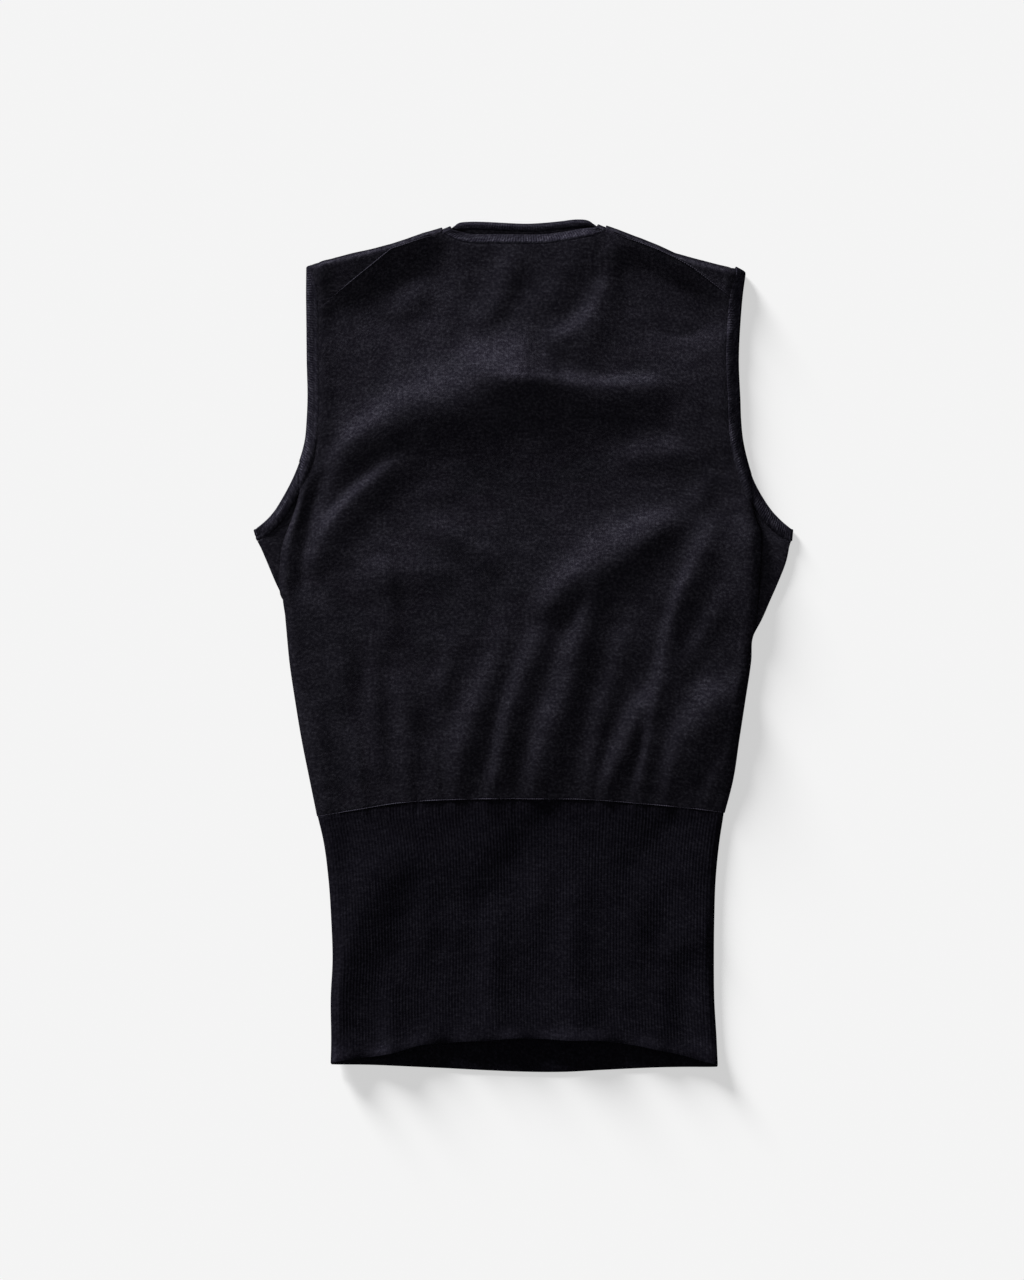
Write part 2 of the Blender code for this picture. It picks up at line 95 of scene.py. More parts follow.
# The armhole edges from the armpit, beside its turn, to the shoulder
ARMHOLES = chart(
    "left_x left_y right_x right_y",
    "-198.6 86 198.6 86, -190 93 190 93, -184 100 183.5 100, -179 108 178 108, -171 123 170 123, "
    "-165 138 165.2 138, -161.2 152.5 162 152.5, -159.8 168 160.5 168, -159.2 182 160 182, "
    "-159.8 212 158.8 212, -160 242 160 240, -160.2 262 161.6 260, -160 279.6 163.6 275.5",
)
SHOULDER_TAPER = {"left": 0.62, "right": 0.25}  # share of its width that a band loses at the shoulder
TAPER_REACH = 0.010  # how far below the shoulder that begins
ARMPIT_JOIN = {"left": (-0.1966, 0.0786), "right": (0.1979, 0.0786)}  # where a band's seam starts
ARMPIT_Y = SEAMS["y"][-1]
SEAM_END = 0.004  # how far below the armpit a side seam has its full rounded edge

# Both shoulders: the fold at the top, the slanting seam on the back, and how high the cloth stands
SHOULDERS = chart(
    "x fold seam lift",
    "-160.6 281.6 243.7 0.8, -151.8 284.4 250.7 1, -139 288.4 261 1.8, -125 291.9 272.3 2.4, "
    "-112 294.7 282.7 2.8, -98 298.5 294 3, -87 302 297.6 3, -74 306.7 302.3 2.8, -60.6 310.6 306.2 2.6, "
    "61.6 312 307.8 2.6, 74 307.3 302.9 2.8, 87 302.7 298.3 3, 100 297.5 293.1 3, 112 291.8 287.4 2.8, "
    "125 288 280.1 2.4, 138 284.5 270.2 1.8, 154 280.6 258 1, 163.6 278.6 250.6 0.8",
)
FLAP_RISE = {"left": 0.0032, "right": 0.0036}  # how far the shoulders rise towards the fold at their top
FLAP_REACH = 0.0300  # how far below the fold that begins
FLAP_FROM_FOLD = -0.002, 0.014  # how far inside the side folds it begins, and over how far it rises
FLAP_FROM_MIDDLE = 0.060, 0.050  # and how far beside the middle

# The neck band's two free edges. Lean is how far sideways its seam lies from its edge.
NECK = chart(
    "x back front lean",
    "-54 308.2 309.9 -5.6, -48 306.6 314 -3.2, -41 304.6 314.8 -1.4, -31 304.2 314.8 0, -21 304.3 314.4 0, "
    "-10 304.1 313.8 0, 3 304 313.4 0, 16 304.3 314.1 0, 29 305.9 315.4 0, 40 307.8 316.6 1.4, "
    "48 309 315.9 3.2, 55.2 309.6 311.3 5.6",
)
NECK_LIFT = 0.0032  # how high the back stands where the neck band joins it
NECK_REACH, TOP_REACH = 0.0600, 0.0120  # how far below the neck, and below the shoulders, the cloth sinks
NECK_WIDTH = 0.045  # how far from the middle it sinks as below the neck

# Low ridges inside the armhole bands: side, the crest's way in, its outer and inner widths, its height
ARM_RIDGES = (
    ("left", 0.0110, 0.0055, 0.0060, 0.0013),
    ("right", 0.0112, 0.0092, 0.0300, 0.0022),
    ("right", 0.0112, 0.0092, 0.0060, 0.0010),
)
RIDGE_START, RIDGE_RISE = 0.128, 0.03  # the Y above which they rise, and over how far

# Folds of the back. Each row is a place on the crest, its height, negative for a hollow, and how far the
# cloth falls away on its left and on its right as the rows go.
BACK_FOLDS = (
    # the broad rise across the shoulder blades
    "-145 150 0 36 42, -90 174 4.4 46 54, -20 190 7.2 56 62, 60 188 4.8 52 58, 120 172 2.2 40 46, "
    "150 158 0 34 40",
    # from the left armhole up towards the shoulder blades
    "-163 110 0 8 10, -156 120 2 8 15, -146 130 4.6 9 17, -133 143 7 10.5 19, -118 154.5 7.4 12.5 19, "
    "-101 163 8 16 20, -82 171 8.8 21.5 21, -64 175 9.4 26 21, -47 177 9.6 28 21, -30 177 7.8 29 19, "
    "-13 173 4.5 25 17, 2 167 1.5 18 14, 12 162 0 14 12",
    # across the shoulder blades to the right, with a lip and a hollow below it
    "-52 202 0 16 13, -36 202 3 22 14, -18 199 7 27 14, 0 195 9.4 27 14, 14 193.5 7.6 19 15, "
    "25 192 6.2 11 18, 40 190.5 5.5 9 21, 62 189 5.3 8.5 22, 85 190 4.4 8.5 20, 102 190 2.4 9 18, "
    "120 188 0 10 14",
    "-20 199 0 5 6, 0 196 1.4 5 6, 18 195 1.8 5.5 7, 34 192.5 1 5.5 7, 50 190 0 6 7",
    "22 164 0 14 20, 44 162 -2.2 17 30, 66 161 -3.2 18 32, 90 162 -2.6 17 30, 115 164 0 14 20",
    # its branch towards the neck
    "12 222 0 10 14, 31 227 3.2 9 18, 45 236 3.9 9.5 20, 56 250 3.9 9 20, 63 266 3.6 9 16, 67 284 3 9 12, "
    "68 300 1 8 10, 67 312 0 8 9",
    # the hollows below the left shoulder, below the right one, and beside the left armhole
    "-150 240 0 7 16, -132 251 -1.8 8 24, -117 259 -2.1 8 28, -102 267 -2.3 8 28, -87 276 -2.3 8 28, "
    "-72 285 -2.1 8 26, -58 293 -1.4 8 20, -46 299 0 7 14",
    "60 290 0 10 14, 72 281 -3.4 14 22, 90 266 -5.2 15 27, 108 255 -5.8 16 28, 126 247 -5.4 17 26, "
    "140 239 -3.4 15 20, 152 230 0 10 14",
    "-168 22 0 7 7, -165 48 -3 7 7, -162 76 -3.6 7 7, -158 100 -3.6 7 7, -151 121 -3.2 7 7, "
    "-143 140 -2.4 6 7, -138 157 0 6 7",
    # soft streaks below the neck
    "-40 236 0 10 9, -24 247 1.8 12 9, -14 262 2.4 12 9, -8 280 2.2 11 9, -5 296 0 9 9",
    "4 248 0 11 9, 16 257 1.2 12 12, 26 270 1.1 12 14, 31 285 0 11 12",
    "-104 240 0 10 9, -90 249 1.8 12 9, -78 262 2 12 10, -74 276 0 10 9",
    "78 236 0 9 9, 89 245 1 10 9, 97 254 0.8 9 8, 101 262 0 8 8",
    # under the right shoulder blade
    "64 133 0 10 9, 80 139 2 12 11, 100 142 3 12 12, 118 139 2.6 12 12, 146 124 0 10 9",
    "126 96 0 9 8, 131 107 1.8 9 9, 136 118 1.8 9 9, 143 130 0 8 8",
    # under the left armhole
    "-161 50 0 6 8, -154 67 3 6 13, -143 87 4.6 7 15, -127 106 5.2 7 15, -111 120 5.4 7.5 14, "
    "-98 131 4.2 8 13, -84 138 1.8 9 12, -72 143 0 9 10",
    # soft folds on the left and in the middle
    "-140 37 0 12 12, -118 46 1.4 13 14, -96 53 1.8 13 15, -74 54 1.4 13 15, -46 48 0 12 12",
    "-106 68 0 8 12, -102 52 2.2 8 14, -100 32 3 8 13, -102 8 2.4 9 12, -105 -14 0 9 10",
    "-84 90 0 11 11, -62 84 2.4 12 12, -42 72 3 12 13, -22 64 1.6 12 12, -8 62 0 10 10",
    "-64 78 0 10 12, -46 68 -1.4 11 14, -30 54 -1.8 11 14, -20 34 -1.8 10 13, -16 14 0 9 11",
    "-154 40 0 8 9, -144 20 2.4 9 10, -136 0 3 10 10, -134 -25 2.4 10 10, -137 -50 0 9 9",
    "-112 8 0 7 7, -111 -20 1.8 7 7, -109 -60 2.2 7 7, -107 -85 1.6 7 7, -106 -112 0 6 6",
    "-86 -120 1.6 7 7, -84 -90 2.6 9 9, -86 -60 3 10 10, -88 -30 2.6 10 10, -93 -4 0 8 9",
    "-52 12 0 8 8, -55 -10 2 8 8, -59 -30 2.2 8 8, -64 -52 0 8 8",
    "-156 -36 0 7 7, -152 -65 2 7 8, -149 -92 2 7 8, -145 -118 1.2 6 7",
    "-127 -58 0 6 6, -124 -80 1.5 6 7, -121 -102 1.8 6 7, -119 -120 1.4 5 6",
    "-70 -66 0 6 6, -68 -90 1.5 6 7, -67 -118 1.6 5 6",
    "-80 116 0 9 8, -66 112 1.3 9 8, -50 118 1.3 9 8, -34 116 0 8 8",
    "-72 132 0 9 8, -52 128 1.3 9 8, -34 130 0 8 8",
    # from the middle up to the right armhole
    "2 20 0 9 9, 15 28 4 11 10, 29 39.5 6.2 13 12, 43 51 6.8 15 15, 61 61 6.8 20 16, 81 72.5 6.6 18.5 14, "
    "101 86 5 15 11, 116 94.5 2 11 11, 128 99 0 11 11",
    # the long fold on the right, and its branches to the left
    "82 -122 2.6 5 7, 87 -100 3.8 5 8, 92 -78 4.6 5 9, 96 -58 5 5.5 11, 100 -38 5.6 6 15, "
    "103.5 -20 6 6 17, 106.6 0 5 5.5 12, 110.7 20 4.6 5.5 11, 118.3 40 4.8 6 12, 128 60 4 7 12, "
    "138 80 2 9 10, 146 98 0 9 9",
    "57 -122 3.4 6 7, 64 -100 4.8 8 8, 72 -82 5.2 9 9, 80 -64 5 10 9, 88 -49 4 9 9, 96 -34 2 7 8, "
    "102 -20 0 7 8",
    "46 -120 1.8 8 6, 50 -90 2.6 9 7, 56 -60 3 9 8, 65 -30 2.8 9 10, 75 0 2.6 9 13, 92 40 0 9 12",
    # from the waist seam up the middle, and beside it on the left
    "5 -124 3 7 10, 10 -100 5.6 8 16, 13.5 -80 7 9 18, 21 -60 7.4 13 18, 30.5 -40 6.8 13 15, "
    "36 -20 6.6 13 14, 41 0 6.2 11.5 14, 47 20 4.8 9 13, 54 40 2.6 8 11, 60 54 0 8 10",
    "-22 -122 2 5 7, -19 -98 4.4 6 9, -16 -78 5.6 6.5 10.5, -12 -58 5.8 7 12, -5.5 -38 5.4 8 13, "
    "2 -18 4.6 9 13, 11 2 3.6 10 12, 22 22 2 10 11, 32 36 0 10 10",
    "-50 -120 2.2 6 6, -48 -98 4 8 9, -45 -78 5.5 10 12, -39 -58 5.5 11 13, -31 -40 4.6 11 12, "
    "-24 -22 3.4 10 10, -18 -4 1.8 9 9, -13 14 0 8 8",
    "-28 -122 1.8 4 4, -25 -104 2.2 5 4, -21 -88 0 5 4",
    # beside the right side seam
    "103 -124 2.4 7 9, 108 -104 4.8 8 13, 113 -85 7 11 20, 122 -67 8.2 14.5 22, 137 -49 8 18 22, "
    "153 -39 5 16 17, 168 -26 0 12 12",
    "133 -122 1.4 6 6, 141 -102 2 6 7, 150 -85 1.8 6 7, 159 -68 0.8 6 6, 165 -56 0 6 6",
    "119 -22 0 6 7, 129 0 2.2 7 8, 138 16 2.2 8 9, 146 32 1.2 8 9, 152 46 0 8 8",
    "164 -5 0 10 6, 167 25 1.5 12 6, 168 60 2 12 6, 166 92 1.5 10 6, 162 112 0 8 6",
)
# Heights above the waist seam, and the share of a fold's height that is left there
GATHERED = (-0.034, -0.014, -0.003, 0.002, 0.016, 0.032), (0.00, 0.14, 0.32, 0.46, 0.86, 1.00)
PLEAT_HEIGHT, PLEAT_REACH = 0.00028, 0.024  # fine pleats that stand up from the waist seam
PLEAT_LENGTHS = 0.006, 0.016
SLACK_HEIGHT = 0.00022  # unevenness that any soft knit keeps as it lies
SLACK_LENGTHS = 0.018, 0.060
PLEAT_FAN = 1.2  # how fast they spread with the height
PATH_STEP = 0.002  # between the points of an edge
CREST_STEP = 0.006  # and of a fold's crest
FOLD_REACH = 2.8  # widths from its crest at which a fold has died away


def between(at, xs, ys):
    """Smooth curve through the points xs, ys: cubic pieces, with the slopes of the chords beside them."""
    slopes = np.gradient(ys, xs)
    piece = np.clip(np.searchsorted(xs, at) - 1, 0, len(xs) - 2)
    span = xs[piece + 1] - xs[piece]
    t = np.clip((at - xs[piece]) / span, 0, 1)
    keep, move = (1 + 2 * t) * (1 - t) ** 2, t * (1 - t) ** 2
    bend = move * slopes[piece] - t**2 * (1 - t) * slopes[piece + 1]
    return keep * ys[piece] + (1 - keep) * ys[piece + 1] + span * bend


def read(chart, column, at):
    """A chart's column, on the smooth curve through it, at places along the chart's first column."""
    return between(at, next(iter(chart.values())), chart[column])


def smooth_step(at):
    """0 up to 0, 1 from 1, and a soft rise between them."""
    t = np.clip(at, 0, 1)
    return t * t * (3 - 2 * t)


def bell(at):
    """1 at 0, a bit over a third at 1 and -1, and next to nothing from 2."""
    return np.exp(-(at**2))


def risen(inward, reach):
    """0 at a rounded edge, and up a quarter of a circle to 1 where reach lies inward from it."""
    return np.sqrt(1 - (1 - np.clip(inward / reach, 0, 1)) ** 2)


def running_length(points):
    """Distance of each point from the first, measured along the line through them."""
    return np.append(0, np.cumsum(np.linalg.norm(np.diff(points, axis=0), axis=1)))


def smooth_path(stops, step):
    """Rows about step apart on the smooth curve through the stops, by its running length in X and Y."""
    lengths = running_length(stops[:, :2])
    at = np.linspace(0, lengths[-1], int(np.ceil(lengths[-1] / step)) + 1)
    return np.column_stack([between(at, lengths, column) for column in stops.T])


def unit(vectors):
    """The vectors, each at length 1."""
    return vectors / (np.linalg.norm(vectors, axis=1, keepdims=True) + 1e-15)


def armhole(side):
    """(edge, seam, panel): the armhole's free edge, its band's seam, and the panel's line beside it."""
    edge = smooth_path(np.column_stack((ARMHOLES[side + "_x"], ARMHOLES[side + "_y"])), PATH_STEP)
    inwards = unit(np.gradient(edge, axis=0))[:, ::-1] * (1, -1) * INWARDS[side]
    below_shoulder = edge[-1, 1] - edge[:, 1]
    width = ARM_BAND * (1 - SHOULDER_TAPER[side] * bell(below_shoulder / TAPER_REACH))[:, None]
    seam, panel = edge + width * inwards, edge + (width + SEAM_GAP) * inwards
    seam[0] = ARMPIT_JOIN[side]
    panel[0] = seam[0] + (0, -2 * SEAM_GAP)
    return edge, seam, panel


ARM = {side: armhole(side) for side in INWARDS}
NECK_DROP = np.sqrt(NECK_BAND**2 - NECK["lean"] ** 2)
NECK_SEAM = {layer: (NECK["x"] + NECK["lean"], NECK[layer] - NECK_DROP) for layer in ("back", "front")}


def along_top(column, neck_values):
    """Values along the top of a panel: a column of both shoulders, and the neck's values between them."""
    left = SHOULDERS["x"] < 0
    return np.concatenate((SHOULDERS[column][left], neck_values[1:-1], SHOULDERS[column][~left]))


TOP_X, TOP_Y = along_top("x", NECK_SEAM["back"][0]), along_top("seam", NECK_SEAM["back"][1])
TOP_LIFT = along_top("lift", np.full(len(NECK["x"]), NECK_LIFT))


def top_y(x):
    """The back's upper edge at x: the shoulder seams, and the neck band's seam between them."""
    return np.interp(x, TOP_X, TOP_Y)


def waist_y(x):
    """The waist seam's place at x."""
    return read(WAIST, "y", x)


def side_x(side, y):
    """Where a jersey panel ends: at its side seam below the armpit, at the armhole's band above it."""
    seam_y = np.linspace(SEAMS["y"][0], ARMPIT_Y, 100)
    band_x, band_y = ARM[side][2].T
    return np.interp(y, np.append(seam_y, band_y), np.append(read(SEAMS, side, seam_y), band_x))


def further_in(side, x, other_x):
    """Of two places along X, the one that lies further in from a side."""
    return np.maximum(x, other_x) if side == "left" else np.minimum(x, other_x)


def fold_x(side, y):
    """Where the upper layer begins to rise: at a side fold, an armhole's edge, or inside a side seam."""
    edge_x, edge_y = ARM[side][0].T
    limit_x = np.append(SEAMS[side] + INWARDS[side] * LIP, edge_x)
    return further_in(side, read(SIDE_FOLDS, side, y), np.interp(y, np.append(SEAMS["y"], edge_y), limit_x))


def grid_fold_x(side, y):
    """The line at which the panel's columns gather along a side: the fold, kept inside the panel."""
    return further_in(side, fold_x(side, y), side_x(side, y) + INWARDS[side] * LIP)


def inside_folds(x, y):
    """How far in from the nearer side fold a place lies."""
    return np.minimum(x - fold_x("left", y), fold_x("right", y) - x)


def fold_height(x, y, rows):
    """A soft ridge along the smooth crest through the rows: a bell curve of the distance to the crest, with
    its height and two widths read along the way, worked out only near the crest."""
    crest = smooth_path(rows_of(rows), CREST_STEP)
    reach = FOLD_REACH * crest[:, 3:].max()
    low, high = crest[:, :2].min(0) - reach, crest[:, :2].max(0) + reach
    near = (x > low[0]) & (x < high[0]) & (y > low[1]) & (y < high[1])
    run = np.diff(crest, axis=0)
    start, run_plan = crest[:-1], run[:, :2]
    away = np.stack((x[near], y[near]), axis=-1)[:, None] - start[:, :2]
    t = np.clip((away * run_plan).sum(-1) / (run_plan**2).sum(-1), 0, 1)
    gap = np.linalg.norm(away - t[..., None] * run_plan, axis=-1)
    nearest = gap.argmin(-1)
    point = np.arange(len(nearest))
    distance, t, off = gap[point, nearest], t[point, nearest], away[point, nearest]
    run, start = run[nearest], start[nearest]
    left = (run[:, 0] * off[:, 1] - run[:, 1] * off[:, 0]) / np.linalg.norm(run[:, :2], axis=1)
    lean = 0.5 + 0.5 * np.clip(left / (distance + 1e-9), -1, 1)
    tall, on_left, on_right = (start[:, 2:] + t[:, None] * run[:, 2:]).T
    height = np.zeros_like(x)
    height[near] = tall * bell(distance / (on_right + (on_left - on_right) * lean))
    return height


def fold_heights(x, y, folds):
    """All of the folds together."""
    return sum(fold_height(x, y, rows) for rows in folds)


def unevenness(x, y, lengths, waves, seed):
    """Unevenness about 1 high: a sum of sine waves with seeded directions, lengths and phases."""
    draw = np.random.default_rng(seed)
    turn, phase = draw.uniform(0, 2 * np.pi, (2, waves))
    pitch = 2 * np.pi / draw.uniform(*lengths, waves)
    total = sum(np.sin(k * (x * np.cos(a) + y * np.sin(a)) + p) for k, a, p in zip(pitch, turn, phase))
    return total * np.sqrt(2 / waves)


def pleats(x, above_waist, seed, waves=11):
    """Fine pleats above the waist seam: uneven waves across it that fade and widen with the height."""
    draw = np.random.default_rng(seed)
    fan = x / (1 + PLEAT_FAN * np.maximum(above_waist, 0))
    drawn = zip(draw.uniform(*PLEAT_LENGTHS, waves), draw.uniform(0, 2 * np.pi, waves))
    total = sum(np.sin(2 * np.pi * fan / length + phase) for length, phase in drawn)
    return total * np.sqrt(2 / waves) * np.exp(-np.maximum(above_waist, 0) / PLEAT_REACH)


def back_slack(x, y):
    """The back's folds and pleats, as they fade towards the rib, and its unevenness."""
    above_waist = y - waist_y(x)
    folds = fold_heights(x, y, BACK_FOLDS) + PLEAT_HEIGHT * pleats(x, above_waist, seed=7)
    slack = SLACK_HEIGHT * unevenness(x, y, SLACK_LENGTHS, waves=22, seed=3)
    return np.interp(above_waist, *GATHERED) * folds + slack


def armhole_ridge(x, y):
    """The low ridge beside an armhole band's seam: a bell curve of the way in from the edge."""
    ridges = 0
    for side, crest, outer, inner, height in ARM_RIDGES:
        way_in = INWARDS[side] * (x - fold_x(side, y))
        ridges = ridges + height * bell((way_in - crest) / np.where(way_in < crest, outer, inner))
    return smooth_step((y - RIDGE_START) / RIDGE_RISE) * ridges


def top_height(x, y):
    """Lift of the cloth near the top: highest at the neck, dying away below the seams, and rising on the
    shoulders, between the armhole and the neck, towards the fold at their top."""
    reach = TOP_REACH + (NECK_REACH - TOP_REACH) * bell(x / NECK_WIDTH)
    sinking = bell(np.maximum(top_y(x) - y, 0) / reach)
    below_fold = np.interp(x, SHOULDERS["x"], SHOULDERS["fold"]) - y
    flap = 1 - smooth_step(below_fold / FLAP_REACH)
    for way, (begin, rise) in ((inside_folds(x, y), FLAP_FROM_FOLD), (np.abs(x), FLAP_FROM_MIDDLE)):
        flap = flap * smooth_step((way - begin) / rise)
    return np.interp(x, TOP_X, TOP_LIFT) * sinking + np.where(x < 0, *FLAP_RISE.values()) * flap


def upper_height(x, y):
    """Height of the upper layer's inner side: rounded sides, folds, and lift at shoulders and neck."""
    inward = inside_folds(x, y)
    sides = read(SIDE_FOLDS, "lift", y) * risen(inward, read(SIDE_FOLDS, "round", y))
    raised = back_slack(x, y) * smooth_step(inward / FOLD_START) + top_height(x, y) + armhole_ridge(x, y)
    return REST + np.maximum(sides + raised, LEAST_LIFT)


# Columns of a panel, from its left edge: the rounded edge, the underarm, the rise of the side fold, the
# body, and the same mirrored. Each is a mix of the edges' and the folds' places, and a step inwards.
EDGE_TURN = np.radians(np.linspace(8, 90, 6))
UNDERARM = np.linspace(0, 1, 8)[1:-1]
FOLD_RISE = np.array((0.0, 0.02, 0.07, 0.14, 0.24, 0.37, 0.53, 0.75))
NECK_SIDES = SHOULDERS["x"][SHOULDERS["x"] < 0].max(), SHOULDERS["x"][SHOULDERS["x"] > 0].min()
SHOULDER_COLUMNS, NECK_COLUMNS = 52, 80
PANEL_ROWS = 100  # rows from waist to armpit, and again from there to the top
RIM_STEPS = 4  # steps round an edge of the cloth


def body_shares():
    """Shares of the way between the side folds, with a column on each side of the neck."""
    low, high = (grid_fold_x(side, TOP_Y.max()) for side in INWARDS)
    left, right = ((x - low - SIDE_ROUND) / (high - low - 2 * SIDE_ROUND) for x in NECK_SIDES)
    parts = ((0, left, SHOULDER_COLUMNS), (left, right, NECK_COLUMNS + 1), (right, 1, SHOULDER_COLUMNS))
    return np.unique(np.concatenate([np.linspace(*part) for part in parts]))


def panel_columns():
    """(weights of edges and folds, step beside a seam, step beside a band, drop to the seam), by column."""
    inner_radius = EDGE_ROUND - JERSEY
    body = body_shares()
    to_fold = np.concatenate((0 * EDGE_TURN, UNDERARM, 1 + 0 * FOLD_RISE))
    weights = np.array((1 - to_fold, to_fold, 0 * to_fold, 0 * to_fold))
    inside = np.concatenate((EDGE_ROUND * (1 - UNDERARM), SIDE_ROUND * FOLD_RISE))
    at_seam = np.append(EDGE_ROUND - inner_radius * np.cos(EDGE_TURN), inside)
    at_band = np.append(np.linspace(0, EDGE_ROUND, len(EDGE_TURN)), inside)
    drop = np.append(inner_radius * (1 - np.sin(EDGE_TURN)), 0 * inside)
    middle_step = SIDE_ROUND * (1 - 2 * body)
    return (
        np.hstack((weights, (0 * body, 1 - body, body, 0 * body), weights[::-1, ::-1])),
        np.concatenate((at_seam, middle_step, -at_seam[::-1])),
        np.concatenate((at_band, middle_step, -at_band[::-1])),
        np.concatenate((drop, 0 * body, drop[::-1])),
    )


WEIGHTS, AT_SEAM, AT_BAND, DROP = panel_columns()


def has_side_seam(y):
    """1 below the armpit, where a panel ends in a side seam, and 0 above it, at the armhole's band."""
    return smooth_step((ARMPIT_Y - y) / SEAM_END)


def column_x(y):
    """X of each column at its own height y; the last axis of y has one value for each column."""
    lines = (side_x("left", y), grid_fold_x("left", y), grid_fold_x("right", y), side_x("right", y))
    step = AT_BAND + (AT_SEAM - AT_BAND) * has_side_seam(y)
    return sum(weight * line for weight, line in zip(WEIGHTS, lines)) + step


def column_ends(end_y):
    """Y at which each column meets the line end_y(x), found in ten rounds from the armpit's height."""
    y = np.full(len(DROP), ARMPIT_Y)
    for _ in range(10):
        y = end_y(column_x(y))
    return y


def panel_plan(end_y):
    """(x, y) of a panel's points: even rows from the waist seam to the armpits, and on to end_y(x)."""
    waist, top = column_ends(lambda at: waist_y(at) + SEAM_GAP / 2), column_ends(end_y)
    share = np.linspace(0, 1, PANEL_ROWS)[:, None]
    y = np.vstack((waist + (ARMPIT_Y - waist) * share, ARMPIT_Y + (top - ARMPIT_Y) * share[1:]))
    return column_x(y), y


def half_turn(first, last, bulge, steps):
    """Rows of points between first and last, round half a turn that stands out by bulge at its middle."""
    turns = np.pi * np.arange(1, steps) / steps
    middle, half, bulge = (first + last) / 2, (first - last) / 2, np.array(bulge)
    return [middle + half * np.cos(turn) + bulge * np.sin(turn) for turn in turns]


def grid_quads(numbers):
    """The four corners of each face of a grid of numbered points."""
    return np.stack((numbers[:-1, :-1], numbers[:-1, 1:], numbers[1:, 1:], numbers[1:, :-1]), axis=-1)


def vertex_normals(points, quads):
    """Mean direction of the faces round each point."""
    corners = points[quads]
    facing = np.cross(corners[:, 2] - corners[:, 0], corners[:, 3] - corners[:, 1])
    total = np.zeros_like(points)
    np.add.at(total, quads, facing[:, None])
    return unit(total)


def in_scene(name, data):
    """A new object in the scene for a mesh, a lamp or a camera."""
    made = bpy.data.objects.new(name, data)
    bpy.context.scene.collection.objects.link(made)
    return made


def piece_of(name, points, faces, material):
    """A smooth object at the origin with the points and faces as its mesh."""
    mesh = bpy.data.meshes.new(name)
    mesh.from_pydata(points, [], faces)
    mesh.shade_smooth()
    mesh.materials.append(material)
    return in_scene(name, mesh)


def cloth(name, inner, wall, uv, material, outwards_down=False, closed=False, keep=slice(None), pressed=0.0):
    """One piece of knit as a closed shell: the inner side, the outer side one wall away along the normals,
    and a half-round rim at every edge. A closed grid's last row joins its first, keep tells which faces are
    there, and pressed how far each point is pressed in from both sides."""
    rows, columns = inner.shape[:2]
    uv_index = np.arange((rows + closed) * columns).reshape(-1, columns)
    if closed:
        uv = np.concatenate((uv, 2 * uv[-1:] - uv[-2:-1]))
    turn = -1 if outwards_down else 1
    uv_quads = grid_quads(uv_index)[keep].reshape(-1, 4)[:, ::turn]
    used, quads = np.unique(uv_quads % (rows * columns), return_inverse=True)
    quads = quads.reshape(-1, 4)
    points = inner.reshape(-1, 3)[used]
    normals = vertex_normals(points, quads)
    pressed = np.broadcast_to(pressed, inner.shape[:2]).reshape(-1, 1)[used]
    outer, lower = points + normals * (wall - pressed), points + normals * pressed

    # The rim runs along the edges that only one face has, and bulges away from that face.
    starts, ends = quads.ravel(), np.roll(quads, -1, axis=1).ravel()
    on_rim = ~np.isin(starts * len(points) + ends, ends * len(points) + starts)
    starts, ends = starts[on_rim], ends[on_rim]
    sideways = np.cross(points[ends] - points[starts], normals[starts])
    outwards = np.zeros_like(points)
    np.add.at(outwards, np.append(starts, ends), np.vstack((sideways, sideways)))
    rim = np.unique(starts)
    half_wall = np.linalg.norm(outer[rim] - lower[rim], axis=1)[:, None] / 2
    rings = half_turn(outer[rim], lower[rim], half_wall * unit(outwards[rim]), RIM_STEPS)
    count = len(points)
    at = np.stack((starts, ends))
    ring = np.searchsorted(rim, at) + 2 * count
    first, last = np.stack((at, *(ring + len(rim) * step for step in range(len(rings))), at + count), axis=1)
    strips = np.stack((first[1:], last[1:], last[:-1], first[:-1]), axis=-1).reshape(-1, 4)
    start_uv, end_uv = uv_quads.ravel()[on_rim], np.roll(uv_quads, -1, axis=1).ravel()[on_rim]
    rim_uv = np.tile(np.column_stack((start_uv, end_uv, end_uv, start_uv)), (len(rings) + 1, 1))

    faces = np.vstack((quads, quads[:, ::-1] + count, strips))
    piece = piece_of(name, np.vstack((outer, lower, *rings)).tolist(), faces.tolist(), material)
    face_uv = uv.reshape(-1, 2)[np.vstack((uv_quads, uv_quads[:, ::-1], rim_uv))]
    piece.data.uv_layers.new(name="cloth").data.foreach_set("uv", face_uv.ravel())
    return piece


def surface_uv(points):
    """Place of each point in the cloth, in metres: the length across its row and up its column."""
    across = np.cumsum(np.linalg.norm(np.diff(points, axis=1, prepend=points[:, :1]), axis=2), axis=1)
    up = np.cumsum(np.linalg.norm(np.diff(points, axis=0, prepend=points[:1]), axis=2), axis=0)
    return np.stack((across - across[:, across.shape[1] // 2, None], up), axis=-1)


def linear(hex_colour):
    """An sRGB hex colour as linear red, green, blue and alpha."""
    parts = np.array([int(hex_colour[i : i + 2], 16) for i in (1, 3, 5)]) / 255
    return (*np.where(parts <= 0.04045, parts / 12.92, ((parts + 0.055) / 1.055) ** 2.4), 1.0)


def give(tree, node, inputs):
    """Gives each input of a shader node its value, or a link from another node's output."""
    for key, value in inputs.items():
        if isinstance(value, bpy.types.NodeSocket):
            tree.links.new(value, node.inputs[key])
        else:
            node.inputs[key].default_value = value


def add(tree, kind, inputs, output=0, **settings):
    """A new shader node with its inputs and settings, as one of its outputs."""
    made = tree.nodes.new("ShaderNode" + kind)
    for setting, value in settings.items():
        setattr(made, setting, value)
    give(tree, made, inputs)
    return made.outputs[output]


def bare_material(name):
    """(material, node tree) of a new material."""
    material = bpy.data.materials.new(name)
    material.use_nodes = True
    return material, material.node_tree


